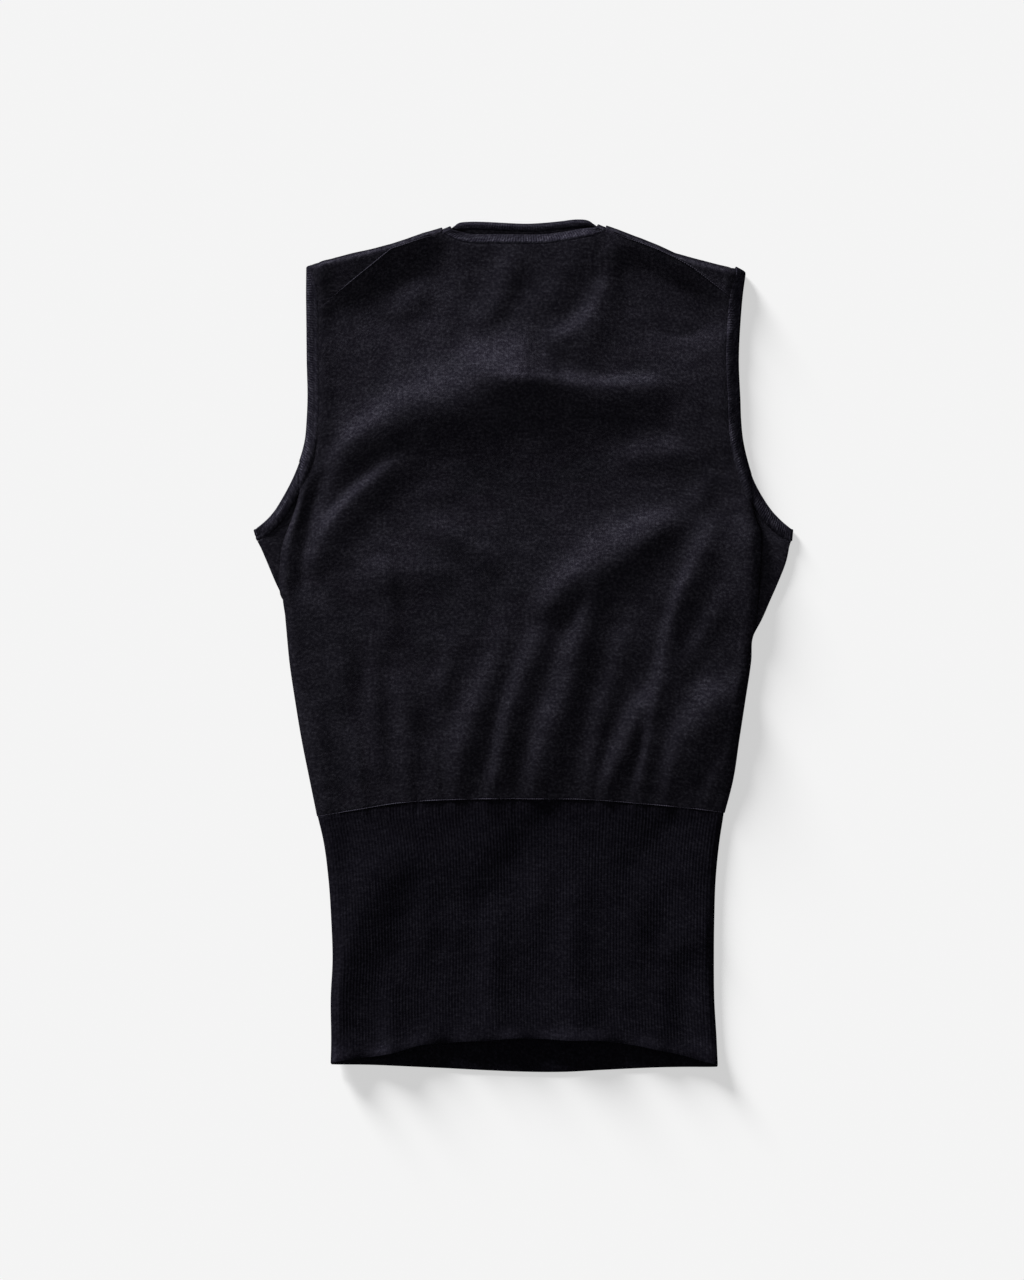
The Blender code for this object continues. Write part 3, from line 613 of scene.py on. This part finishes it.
LEG_SLANT = 1.6  # courses that a stitch's leg climbs over one wale
TUFTS = 400, 480, 1  # clumps of fibre to the metre, across and up, with finer ones in them
PATCHES = 70, 130, 1  # thicker and thinner stretches of yarn, 14 by 8 mm
NAP = 0.9  # height of the tufts against the stitches'


def knitted(name, wale, course, dark, light, depth, lustre):
    """Knitted wool: stitches one wale wide and one course high, with a nap, dark between its tufts and light
    on them. It gives the eye a soft grain and hardly any shine. The yarn's lustre has its own colour, so it
    is a share of metal, with a black edge tint that keeps the cloth dull where it is seen low."""
    material, tree = bare_material(name)
    place = add(tree, "UVMap", {}, uv_map="cloth")

    # A stitch is a V: two round legs that meet in the middle of its wale and climb to both sides.
    stitches = add(tree, "Mapping", {"Vector": place, "Scale": (1 / wale, 1 / course, 1)})
    wales = add(tree, "SeparateXYZ", {0: stitches})
    courses = wales.node.outputs[1]
    in_wale = add(tree, "Math", {0: wales}, operation="FRACT")
    from_middle = add(tree, "Math", {0: in_wale, 1: 0.5}, operation="SUBTRACT")
    leg = add(tree, "Math", {0: from_middle}, operation="ABSOLUTE")
    slant = add(tree, "Math", {0: leg, 1: LEG_SLANT, 2: courses}, operation="MULTIPLY_ADD")
    turns = [add(tree, "Math", {0: at, 1: 2 * np.pi}, operation="MULTIPLY") for at in (slant, leg)]
    loop_wave, round_leg = (add(tree, "Math", {0: turn}, operation="SINE") for turn in turns)
    loops = add(tree, "Math", {0: loop_wave, 1: 0.25, 2: 0.75}, operation="MULTIPLY_ADD")
    stitch = add(tree, "Math", {0: loops, 1: round_leg}, operation="MULTIPLY")

    # Light tufts are few on the dark, so the noise is spread, and squared.
    grain = []
    for scale, roughness in ((TUFTS, 0.65), (PATCHES, 0.5)):
        at = add(tree, "Mapping", {"Vector": place, "Scale": scale})
        noise = {"Vector": at, "Scale": 1.0, "Detail": 3.0, "Roughness": roughness}
        grain.append(add(tree, "TexNoise", noise))
    tufts, patches = grain
    mixed = add(tree, "Math", {0: patches, 1: 0.3, 2: tufts}, operation="MULTIPLY_ADD")
    spread = add(tree, "MapRange", {"Value": mixed, "From Min": 0.45, "From Max": 0.87})
    shade = add(tree, "Math", {0: spread, 1: 2.0}, operation="POWER")
    shades = {"Factor": shade, 6: linear(dark), 7: linear(light)}
    colour = add(tree, "Mix", shades, output=2, data_type="RGBA")
    height = add(tree, "Math", {0: tufts, 1: NAP, 2: stitch}, operation="MULTIPLY_ADD")
    bump = add(tree, "Bump", {"Distance": depth, "Height": height})
    shader = tree.nodes["Principled BSDF"]
    give(tree, shader, {"Base Color": colour, "Normal": bump, "Metallic": lustre, "Roughness": 0.5})
    give(tree, shader, {"Specular IOR Level": 0, "Specular Tint": linear("#000000")})
    give(tree, shader, {"Sheen Weight": 0.004, "Sheen Roughness": 0.6, "Sheen Tint": linear("#c9c6dc")})
    return material


# Fine jersey, black with a trace of violet. Its stitches, 0.9 mm wide, are drawn coarser so that they show.
jersey_knit = knitted("black wool jersey", 0.0013, 0.0011, "#100f14", "#28272d", 0.00014, 0.5)


def sewn_piece(piece, node):
    """Attaches a piece of cloth to the root, and hides the CAD solid that it stands for."""
    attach(piece, "root")
    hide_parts(node)


def back_panel():
    """The back's points: its plan and heights, the rounded edges down to the side seams, the overhang."""
    x, y = panel_plan(lambda at: top_y(at) - SEAM_GAP / 2)
    z = upper_height(x, y) - DROP * has_side_seam(y)
    hanging, reach = read(SIDE_FOLDS, "overhang", y), read(SIDE_FOLDS, "round", y)
    for side, inwards in INWARDS.items():
        x = x - inwards * hanging * np.sin(np.pi * risen(inwards * (x - fold_x(side, y)), reach))
    return np.stack((x, y, z), axis=-1)


back_points = back_panel()
back = cloth("back", back_points, JERSEY, surface_uv(back_points), jersey_knit)
sewn_piece(back, "body_back")

# --- Front panel ------------
# The same jersey, lying underneath with its outside down. Its shoulders roll over the top fold to the two
# slanting seams on the back, and its neck stands a little higher than the back's, so its inside shows.

FRONT_LIFT = 0.30  # share of the back's folds that the front takes up underneath
FOLDS_END = 0.008, 0.02  # how far below the top they end, and over how far they fade
FRONT_PLEATS, FRONT_PLEAT_REACH = 0.00022, 0.03
NECK_STAND, NECK_STAND_REACH = 0.0016, 0.0045  # how high its neck edge stands, and from how far below
NECK_STAND_HALF, NECK_STAND_FADE = 0.052, 0.012  # how far to each side it does, and over how far it ends
TURN_STEPS = 9  # steps round the shoulder fold
FLAP_ROWS = 14  # rows from there to the shoulder seams


def lower_rise(x, y):
    """Lift of the lower layer: a share of the folds above it, which ends below the top, low pleats at the
    waist, and the stand of the neck's edge."""
    above_waist = y - waist_y(x)
    folds = FRONT_LIFT * np.interp(above_waist, *GATHERED) * fold_heights(x, y, BACK_FOLDS)
    pleated = np.exp(-np.maximum(above_waist, 0) / FRONT_PLEAT_REACH)
    folds = folds + FRONT_PLEATS * (1 + pleats(x, above_waist, seed=19)) * pleated
    below_top = (top_y(x) - y - FOLDS_END[0]) / FOLDS_END[1]
    below_neck = np.interp(x, *NECK_SEAM["front"]) - y
    beside = smooth_step((NECK_STAND_HALF - np.abs(x)) / NECK_STAND_FADE)
    stand = NECK_STAND * bell(below_neck / NECK_STAND_REACH) * beside
    within = smooth_step(inside_folds(x, y) / FOLD_START) * smooth_step(below_top)
    return np.maximum(folds, 0) * within + stand


def front_panel():
    """(points, keep): the front, flat below, up round the shoulder folds, and on to the seams on the back.
    Between the shoulders nothing is kept beyond the neck's edge."""
    base_x, base_y = along_top("x", NECK_SEAM["front"][0]), along_top("fold", NECK_SEAM["front"][1])
    shoulder = np.isin(base_x, SHOULDERS["x"])
    base_y = base_y - np.where(shoulder, JERSEY + (upper_height(base_x, base_y) - JERSEY) / 2, SEAM_GAP)
    x, y = panel_plan(lambda at: np.interp(at, base_x, base_y))
    flat = np.stack((x, y, JERSEY + lower_rise(x, y) + DROP * has_side_seam(y)), axis=-1)
    low, edge_y = flat[-1], y[-1]
    high = np.column_stack((x[-1], edge_y, upper_height(x[-1], edge_y)))
    over = half_turn(low, high, (high - low)[:, [2]] / 2 * (0, 1, 0), TURN_STEPS)
    seam_y = column_ends(lambda at: top_y(at) + SEAM_GAP / 2)
    share = 1 - (1 - np.linspace(0, 1, FLAP_ROWS)[:, None]) ** 1.6  # closer rows at the seam
    flap_y = edge_y + (seam_y - edge_y) * share
    flap_x = column_x(flap_y)
    points = np.array([*flat, *over, *np.stack((flap_x, flap_y, upper_height(flap_x, flap_y)), axis=-1)])
    before_neck = len(EDGE_TURN) + len(UNDERARM) + len(FOLD_RISE) + SHOULDER_COLUMNS - 1
    keep = np.ones((len(points) - 1, len(DROP) - 1), bool)
    keep[len(flat) - 1 :, before_neck : before_neck + NECK_COLUMNS] = False
    return points, keep


front_points, front_keep = front_panel()
front_uv = surface_uv(front_points)
front = cloth("front", front_points, JERSEY, front_uv, jersey_knit, outwards_down=True, keep=front_keep)
sewn_piece(front, "body_front")

# --- Waistband ------------
# A deep one-and-one rib in two halves, knitted in the same yarn and linked to the gathered jersey. It
# grips the waist, so it lies flatter than the jersey. The back half's hem rides higher than the front's.

RIB_SIDES = chart(
    "y left right",
    "-312 -143 144.3, -293 -143 143.7, -263 -143.4 142, -233 -142 141.7, -204 -143 142, -174 -145 143, "
    "-144 -149 146, -125 -153.5 149",
)
HEM = chart(
    "x back front",
    "-143 -309.5 -310.2, -125 -306.2 -310.8, -109 -304.5 -311.3, -91 -300.5 -312.1, -78 -296.8 -312.7, "
    "-56 -294.5 -313.7, -29 -292.8 -315.1, -8 -291.4 -316, 18 -291.7 -316.5, 29 -292.5 -316.4, "
    "57 -293.1 -315, 81 -296.2 -313.8, 98 -299.8 -313.1, 116 -303.6 -312.7, 130 -307.5 -312.4, "
    "143.6 -311 -312",
)
HEM_LIFT, HEM_REACH = 0.0026, 0.0300  # how far the back hem's middle stands off, and how far up
HEM_CURL, CURL_REACH = 0.0013, 0.0045  # how far its edge curls up
CURL_CHANGE, CURL_LENGTHS = 0.8, (0.020, 0.070)  # how much that changes along it
CORNER_LIFT, CORNER_WIDTH, CORNER_REACH = 0.0036, 0.016, 0.013  # how both hems' corners curl up
RIB_LIFT = (-0.311, -0.125), (0.0020, 0.0026)  # lift of the sides, from the hem up to the waist
RIB_FOLDS = (  # as the back's folds
    # up the left side
    "-141 -300 0 6 12, -139 -270 2 7 15, -134 -245 2.8 9 18, -126 -218 3.4 13 19, -118 -196 3.6 17 19, "
    "-109 -176 3.4 21 19, -100 -158 2.6 22 18, -91 -140 0 18 14",
    # a hollow that slants in below the jersey's folds
    "-36 -208 0 12 18, -28 -193 -1.4 16 24, -15 -173 -2.2 18 28, -2 -153 -2.3 18 28, 15 -133 -2.1 17 26, "
    "26 -114 0 12 16",
    # faint ones, and a hollow above the hem on the right
    "96 -232 0 12 12, 112 -226 1.5 16 14, 130 -214 1.5 16 14, 146 -200 0 12 12",
    "66 -176 0 12 14, 88 -160 -1.5 15 20, 106 -142 -1.6 14 18, 116 -122 0 9 12",
    "-100 -308 2.2 7 8, -100 -280 1.8 8 9, -99 -250 1.2 9 9, -98 -230 0 8 8",
    "-24 -300 2.2 9 10, -23 -260 2 9 10, -24 -225 1.6 9 10, -26 -192 0 9 9",
    "36 -300 2.4 11 11, 37 -260 2.2 11 12, 36 -220 1.9 11 11, 33 -178 0 10 10",
    "128 -304 0 8 9, 122 -285 -2 9 11, 117 -262 -2.8 11 13, 110 -238 -2.8 13 14, 100 -215 -2 13 13, "
    "88 -194 0 11 11",
    "100 -308 2 7 6, 98 -285 0 7 7",
)
RIBS = 124  # ribs across each half, 2.3 mm apart
RIB_POINTS = 6  # columns to one rib
RIB_ROWS = 47
RIB_DEPTH = 0.00024  # how far the furrows between the ribs are pressed in, from each side
FURROWS_START = 1 / 12  # share of the height over which they deepen from the hem
RIB_ROUND = 0.0018  # radius of the rounded edges at the sides


def corner_lift(x, above_hem):
    """How far the hem's corners curl up: they fade away inwards and upwards."""
    to_side = np.minimum(x - HEM["x"][0], HEM["x"][-1] - x)
    return CORNER_LIFT * bell(np.maximum(to_side, 0) / CORNER_WIDTH) * bell(above_hem / CORNER_REACH)


def rib_height(x, y):
    """Height of the upper half's inner side: folds, the jersey's height at the seam, and the hem's lift."""
    inward = np.minimum(x - read(RIB_SIDES, "left", y), read(RIB_SIDES, "right", y) - x) - RIB_ROUND
    sides = np.interp(y, *RIB_LIFT) * risen(inward, SIDE_ROUND)
    folds = back_slack(x, y) + fold_heights(x, y, RIB_FOLDS)
    above_hem = y - read(HEM, "back", x)
    hem = HEM_LIFT * np.clip(1 - (x / HEM["x"][-1]) ** 2, 0, 1) * bell(above_hem / HEM_REACH)
    uneven = 1 + CURL_CHANGE * unevenness(x, 0 * y, CURL_LENGTHS, waves=9, seed=5)
    curl = HEM_CURL * bell(above_hem / CURL_REACH) * uneven
    return REST + sides + folds * smooth_step(inward / FOLD_START) + hem + curl + corner_lift(x, above_hem)


def waistband(layer):
    """(points, pressed) of one half: columns that follow the ribs from hem to waist, and the furrows."""
    across = np.linspace(0, 1, RIBS * RIB_POINTS + 1)
    up = np.linspace(0, 1, RIB_ROWS)[:, None]
    hem_x, waist_x = (ends[0] + (ends[-1] - ends[0]) * across for ends in (HEM["x"], WAIST["x"]))
    hem_y = read(HEM, layer, hem_x)
    y = hem_y + (waist_y(waist_x) - SEAM_GAP / 2 - hem_y) * up
    left, right = read(RIB_SIDES, "left", y), read(RIB_SIDES, "right", y)
    from_side = np.minimum(across, 1 - across) * (right - left)
    edge_turn = np.clip(from_side / RIB_ROUND, 0, 1)
    turn, inner_radius = np.radians(8 + 82 * edge_turn), RIB_ROUND - RIB
    inwards = np.where(edge_turn < 1, RIB_ROUND - inner_radius * np.cos(turn), from_side)
    x = np.where(across < 0.5, left + inwards, right - inwards)
    drop = inner_radius * (1 - np.sin(turn))
    z = rib_height(x, y) - drop if layer == "back" else RIB + drop + corner_lift(x, y - hem_y)
    furrow = 0.5 - 0.5 * np.cos(2 * np.pi * across * RIBS)
    deepening = smooth_step(up / FURROWS_START) * smooth_step(edge_turn)
    return np.stack((x, y, z), axis=-1), RIB_DEPTH * furrow * deepening


# The same yarn in a close rib, one rib to a wale, and duller. Its colour is darker than the jersey's: painted
# shade for its furrows, which swallow the light.
rib_knit_painted_shade = knitted("black wool rib", 0.0023, 0.0013, "#0b0a0f", "#1b1a20", 0.00011, 0.3)

for layer, beneath in (("back", "front_waistband"), ("front", "ground")):
    points, furrows = waistband(layer)
    lies_under = layer == "front"
    half = cloth(layer + "_waistband", points, RIB, surface_uv(points), rib_knit_painted_shade, lies_under, pressed=furrows)
    sewn_piece(half, "waistband_" + layer)

# --- Armhole bands ------------
# A narrow rib strip in the same yarn, folded and linked round each armhole in one piece: up the back,
# over the shoulder and down the front to the armpit, where it turns under.

TRIM = 0.0016  # wall of a band
BAND_ACROSS = 13  # points across a band
BAND_PITCH = 0.0018  # rib pitch along a band
TRIM_DEPTH = 0.00026  # depth of its furrows, from each side
BAND_ENDS = 40  # rows from its end to where it has its full shape
TURN_ROWS = 6  # rows round each end
CROWN_LEAN = 1.4  # over 1 moves its crown towards its seam
ROLL_SHARE, ROLL_POWER = 0.85, 1.5  # share of its width that rolls down, and how sharply
CURL_AT, CURL_WIDTHS = 0.4, (0.26, 1.0)  # where across it curls up most, and how wide to each side
GROOVE_AT, GROOVE_WIDTH = 0.62, 0.10  # where across it a groove runs
SUNK_FROM = 0.8  # from where across it is pressed in towards its seam
CROWN = (0.132, 0.165), (0.0018, 0.0002)  # how far it swells, from the underarm up to the shoulder
ARM_ROLL = {"left": 0.0, "right": 0.0012}  # how far a band's edge rolls down
ARM_SUNK = {"left": 0.0004, "right": 0.0}  # depth of the grooves along it and at its seam
ARMPIT_TURN = {"left": (-0.0005, -0.0002, 0.0), "right": (0.0005, -0.0002, 0.0)}  # its turn at the armpit


def resampled(line, count):
    """The line at count even steps of its running length."""
    lengths = running_length(line)
    at = np.linspace(0, lengths[-1], count)
    return np.column_stack([np.interp(at, lengths, column) for column in line.T])


def strip(line, is_upper, bend):
    """Points of a band on one layer, from its free edge to its seam. On the upper layer it is crowned and
    its edge rolls down by bend; on the lower one it curls up by bend."""
    edge, seam = line
    count = int(running_length(edge)[-1] / BAND_PITCH * RIB_POINTS)
    edge, seam = resampled(edge, count), resampled(seam, count)
    across = np.linspace(0, 1, BAND_ACROSS)
    plan = edge[:, None] + (seam - edge)[:, None] * across[:, None]
    from_end = np.minimum(np.arange(count), np.arange(count)[::-1])[:, None]
    full = smooth_step(from_end / BAND_ENDS)
    if is_upper:
        crown = np.interp(plan[..., 1], *CROWN) * np.sin(np.pi * across**CROWN_LEAN)
        bent = crown - bend * np.clip(1 - across / ROLL_SHARE, 0, 1) ** ROLL_POWER
        z = upper_height(plan[..., 0], plan[..., 1]) + full * bent
    else:
        z = TRIM + full * bend * bell((across - CURL_AT) / np.where(across < CURL_AT, *CURL_WIDTHS))
    return np.concatenate((plan, z[..., None]), axis=-1)


def band(name, upper, lower, start, end, outwards_down=False, roll=0, curl=0, groove=0, sunk=0.0004):
    """A closed strip: along the upper layer, round the end, back along the lower one and round the start.
    Start and end tell how far it bulges there, and without end it folds half round. It is pressed in by its
    furrows, by a groove beyond its middle, and by sunk towards its seam."""
    top, bottom = strip(upper, True, roll), strip(lower, False, curl)
    if end is None:
        end = (top[-1] - bottom[-1])[:, [2]] / 2 * (0, 1, 0)
    round_end = half_turn(top[-1], bottom[-1], end, TURN_ROWS)
    round_start = half_turn(bottom[0], top[0], start, TURN_ROWS)
    points = np.array([*top, *round_end, *bottom[::-1], *round_start])
    across = np.linspace(0, 1, BAND_ACROSS)
    uv = np.stack(np.broadcast_arrays(surface_uv(points)[..., 1], across * ARM_BAND), axis=-1)
    furrow = 0.5 - 0.5 * np.cos(2 * np.pi * np.arange(len(points)) / RIB_POINTS)[:, None]
    pressed = TRIM_DEPTH * furrow * np.sin(np.pi * np.clip(across, 0.02, 0.98)) ** 0.5
    pressed = np.maximum(pressed, groove * bell((across - GROOVE_AT) / GROOVE_WIDTH))
    pressed = np.maximum(pressed, sunk * np.clip((across - SUNK_FROM) / (1 - SUNK_FROM), 0, 1))
    return cloth(name, points, TRIM, uv, trim_knit_painted_light, outwards_down, closed=True, pressed=pressed)


# The same yarn in a doubled strip with rounded ribs. Its colour is a little lighter than the jersey's:
# painted light for its rolled edges, which catch the lamp.
trim_knit_painted_light = knitted("black wool trim", 0.0018, 0.0012, "#121117", "#2d2c33", 0.00012, 0.5)

for side in INWARDS:
    lines, depth, facing_down = ARM[side][:2], ARM_SUNK[side], side == "right"
    grooves = {"roll": ARM_ROLL[side], "groove": depth, "sunk": depth}
    piece = band(side + "_armhole_trim", lines, lines, ARMPIT_TURN[side], None, facing_down, **grooves)
    sewn_piece(piece, "armhole_band_" + side)

# --- Neck band ------------
# The same trim, narrower, round the neck in one piece. Its edge rolls down on the back, and curls up inside
# the opening on the front.

NECK_ROLL = 0.0033  # how far the back's edge rolls down, away from the waist
NECK_CURL = 0.0022  # how far the front's edge curls up inside the opening


def neck_lines(layer):
    """(edge, seam) of the neck band on one layer, as smooth lines from left to right."""
    lines = (NECK["x"], NECK[layer]), NECK_SEAM[layer]
    return [smooth_path(np.column_stack(line), PATH_STEP) for line in lines]


turns = (-0.0004, 0.0008, 0.0), (0.0004, 0.0008, 0.0)
neck = band("neck_trim", neck_lines("back"), neck_lines("front"), *turns, roll=NECK_ROLL, curl=NECK_CURL)
sewn_piece(neck, "neck_band")

# --- Linked seams ------------
# The rib is linked to the jersey, and the fronts to the back, loop by loop in the same yarn. Each seam stands
# up as a fine chain of loops that catches the light, and its yarn is coloured paler than the cloth as painted
# light.

CHAIN = 0.00050  # half thickness of the chain
CHAIN_RISE = 0.0002  # how far its middle lies above the cloth
LOOP = 0.0017  # length of one loop
LOOP_RINGS, RING = 5, 8  # rings to one loop, and points to one ring
CHAIN_INSET = 0.0012  # how far inside the sides the waist's chain ends


def chain(name, x, y, thickness):
    """A thin tube along the seam, half sunk in it, that swells and narrows once for each loop: radius =
    thickness (0.72 + 0.28 cos(2 pi length / LOOP)), with its rings square to the line."""
    line = np.column_stack((x, y, upper_height(x, y) + JERSEY + CHAIN_RISE))
    lengths = running_length(line)
    count = int(lengths[-1] / LOOP) * LOOP_RINGS
    at = np.linspace(0, lengths[-1], count)
    line = resampled(line, count)
    along = unit(np.gradient(line, axis=0))
    side = np.cross(along, (0, 0, 1))
    up = np.cross(side, along)
    turn = 2 * np.pi * np.arange(RING)[:, None] / RING
    radius = np.interp(at, lengths, thickness) * (0.72 + 0.28 * np.cos(2 * np.pi * at / LOOP))
    around = side[:, None] * np.cos(turn) + up[:, None] * np.sin(turn)
    points = line[:, None] + radius[:, None, None] * around
    index = np.arange(count * RING).reshape(count, RING)
    index = np.hstack((index, index[:, :1]))
    quads = grid_quads(index).reshape(-1, 4)[:, ::-1]
    faces = quads.tolist() + [index[0, :RING].tolist(), index[-1, :RING][::-1].tolist()]
    piece = piece_of(name, points.reshape(-1, 3).tolist(), faces, chain_yarn_painted_light)
    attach(piece, "root")


# Twisted wool, quite matt, coloured a shade paler than the cloth though it is the same yarn: painted light,
# so that its loops show as a fine lit line
chain_yarn_painted_light, yarn = bare_material("black linking yarn")
in_metres = add(yarn, "TexCoord", {}, output=3)  # the object's own coordinates
fibres = add(yarn, "TexNoise", {"Vector": in_metres, "Scale": 900.0})  # 1.1 mm, as one twist of the yarn
yarn_shades = {"Factor": fibres, 6: linear("#1e1d23"), 7: linear("#3c3a44")}
yarn_colour_painted_light = add(yarn, "Mix", yarn_shades, output=2, data_type="RGBA")
matt_yarn = {"Base Color": yarn_colour_painted_light, "Roughness": 1.0, "Specular IOR Level": 0.0}
give(yarn, yarn.nodes["Principled BSDF"], matt_yarn)

# The waist's loops are pulled tighter here and looser there, and the shoulders' fade out at both ends.
waist_x = np.linspace(WAIST["x"][0] + CHAIN_INSET, WAIST["x"][-1] - CHAIN_INSET, 400)
waist_tension = 0.72 + 0.3 * unevenness(waist_x, 0 * waist_x, (0.012, 0.050), waves=9, seed=11)
chain("waist_linking", waist_x, waist_y(waist_x), CHAIN * np.clip(waist_tension, 0.3, 1.2))
for side, (first, last) in (("left", (-0.1440, -0.0640)), ("right", (0.0650, 0.1560))):
    shoulder_x = np.linspace(first, last, 200)
    fade = smooth_step(np.minimum(shoulder_x - first, last - shoulder_x) / 0.020)
    chain(side + "_shoulder_linking", shoulder_x, top_y(shoulder_x), CHAIN * (0.25 + 0.75 * fade))

# --- Ground, light and camera ------------
# A plain pale table top, one broad lamp low on the upper left, and weak light from all round. The lamp
# rakes across the cloth, so that every soft fold has a lit side and a dark one.

GROUND_HALF, GROUND_Z = 4, -0.0003  # just under the cloth


def seen_by_eye(tree):
    """1 for what is seen directly, in a mirror or through glass, and 0 for the light that falls on things."""
    rays = tree.nodes.new("ShaderNodeLightPath").outputs
    seen = add(tree, "Math", {0: rays["Is Camera Ray"], 1: rays["Is Glossy Ray"]}, operation="MAXIMUM")
    return add(tree, "Math", {0: seen, 1: rays["Is Transmission Ray"]}, operation="MAXIMUM")


# Matt white board. To the eye a share of it is plain white, so it looks evenly lit and still takes shadow.
PLAIN_SHARE = 0.6
white_board, board = bare_material("matt white board")
matt = add(board, "BsdfDiffuse", {"Color": linear("#fdfdfd")})
plain_white = add(board, "Emission", {"Color": linear("#fdfdfd"), "Strength": 1.0})
share = add(board, "Math", {0: seen_by_eye(board), 1: PLAIN_SHARE}, operation="MULTIPLY")
surface = add(board, "MixShader", {0: share, 1: matt, 2: plain_white})
give(board, board.nodes["Material Output"], {"Surface": surface})
corners = [(GROUND_HALF * x, GROUND_HALF * y, GROUND_Z) for x, y in ((-1, -1), (1, -1), (1, 1), (-1, 1))]
piece_of("ground", corners, [(0, 1, 2, 3)], white_board)

# The lamp stands 12.5 degrees above the table, so level cloth gets only a fifth of its strength.
key = bpy.data.lights.new("key", "SUN")
key.energy = 11.0
key.angle = np.radians(16)
in_scene("key", key).rotation_euler = (np.radians(77.5), 0, np.radians(215))

world = bpy.data.worlds.new("soft light")
bpy.context.scene.world = world
world.use_nodes = True
sky = world.node_tree
soft = add(sky, "Background", {"Color": linear("#ffffff"), "Strength": 0.05})
pale = add(sky, "Background", {"Color": linear("#f3f3f3"), "Strength": 1.0})
backdrop = add(sky, "MixShader", {0: seen_by_eye(sky), 1: soft, 2: pale})
give(sky, sky.nodes["World Output"], {"Surface": backdrop})

camera_data = bpy.data.cameras.new("camera")
camera_data.lens = 85
camera_data.sensor_width = 36
camera = in_scene("camera", camera_data)
camera.location = (-0.0085, 0.0041, 2.249)
bpy.context.scene.camera = camera
bpy.context.scene.view_settings.view_transform = "Standard"
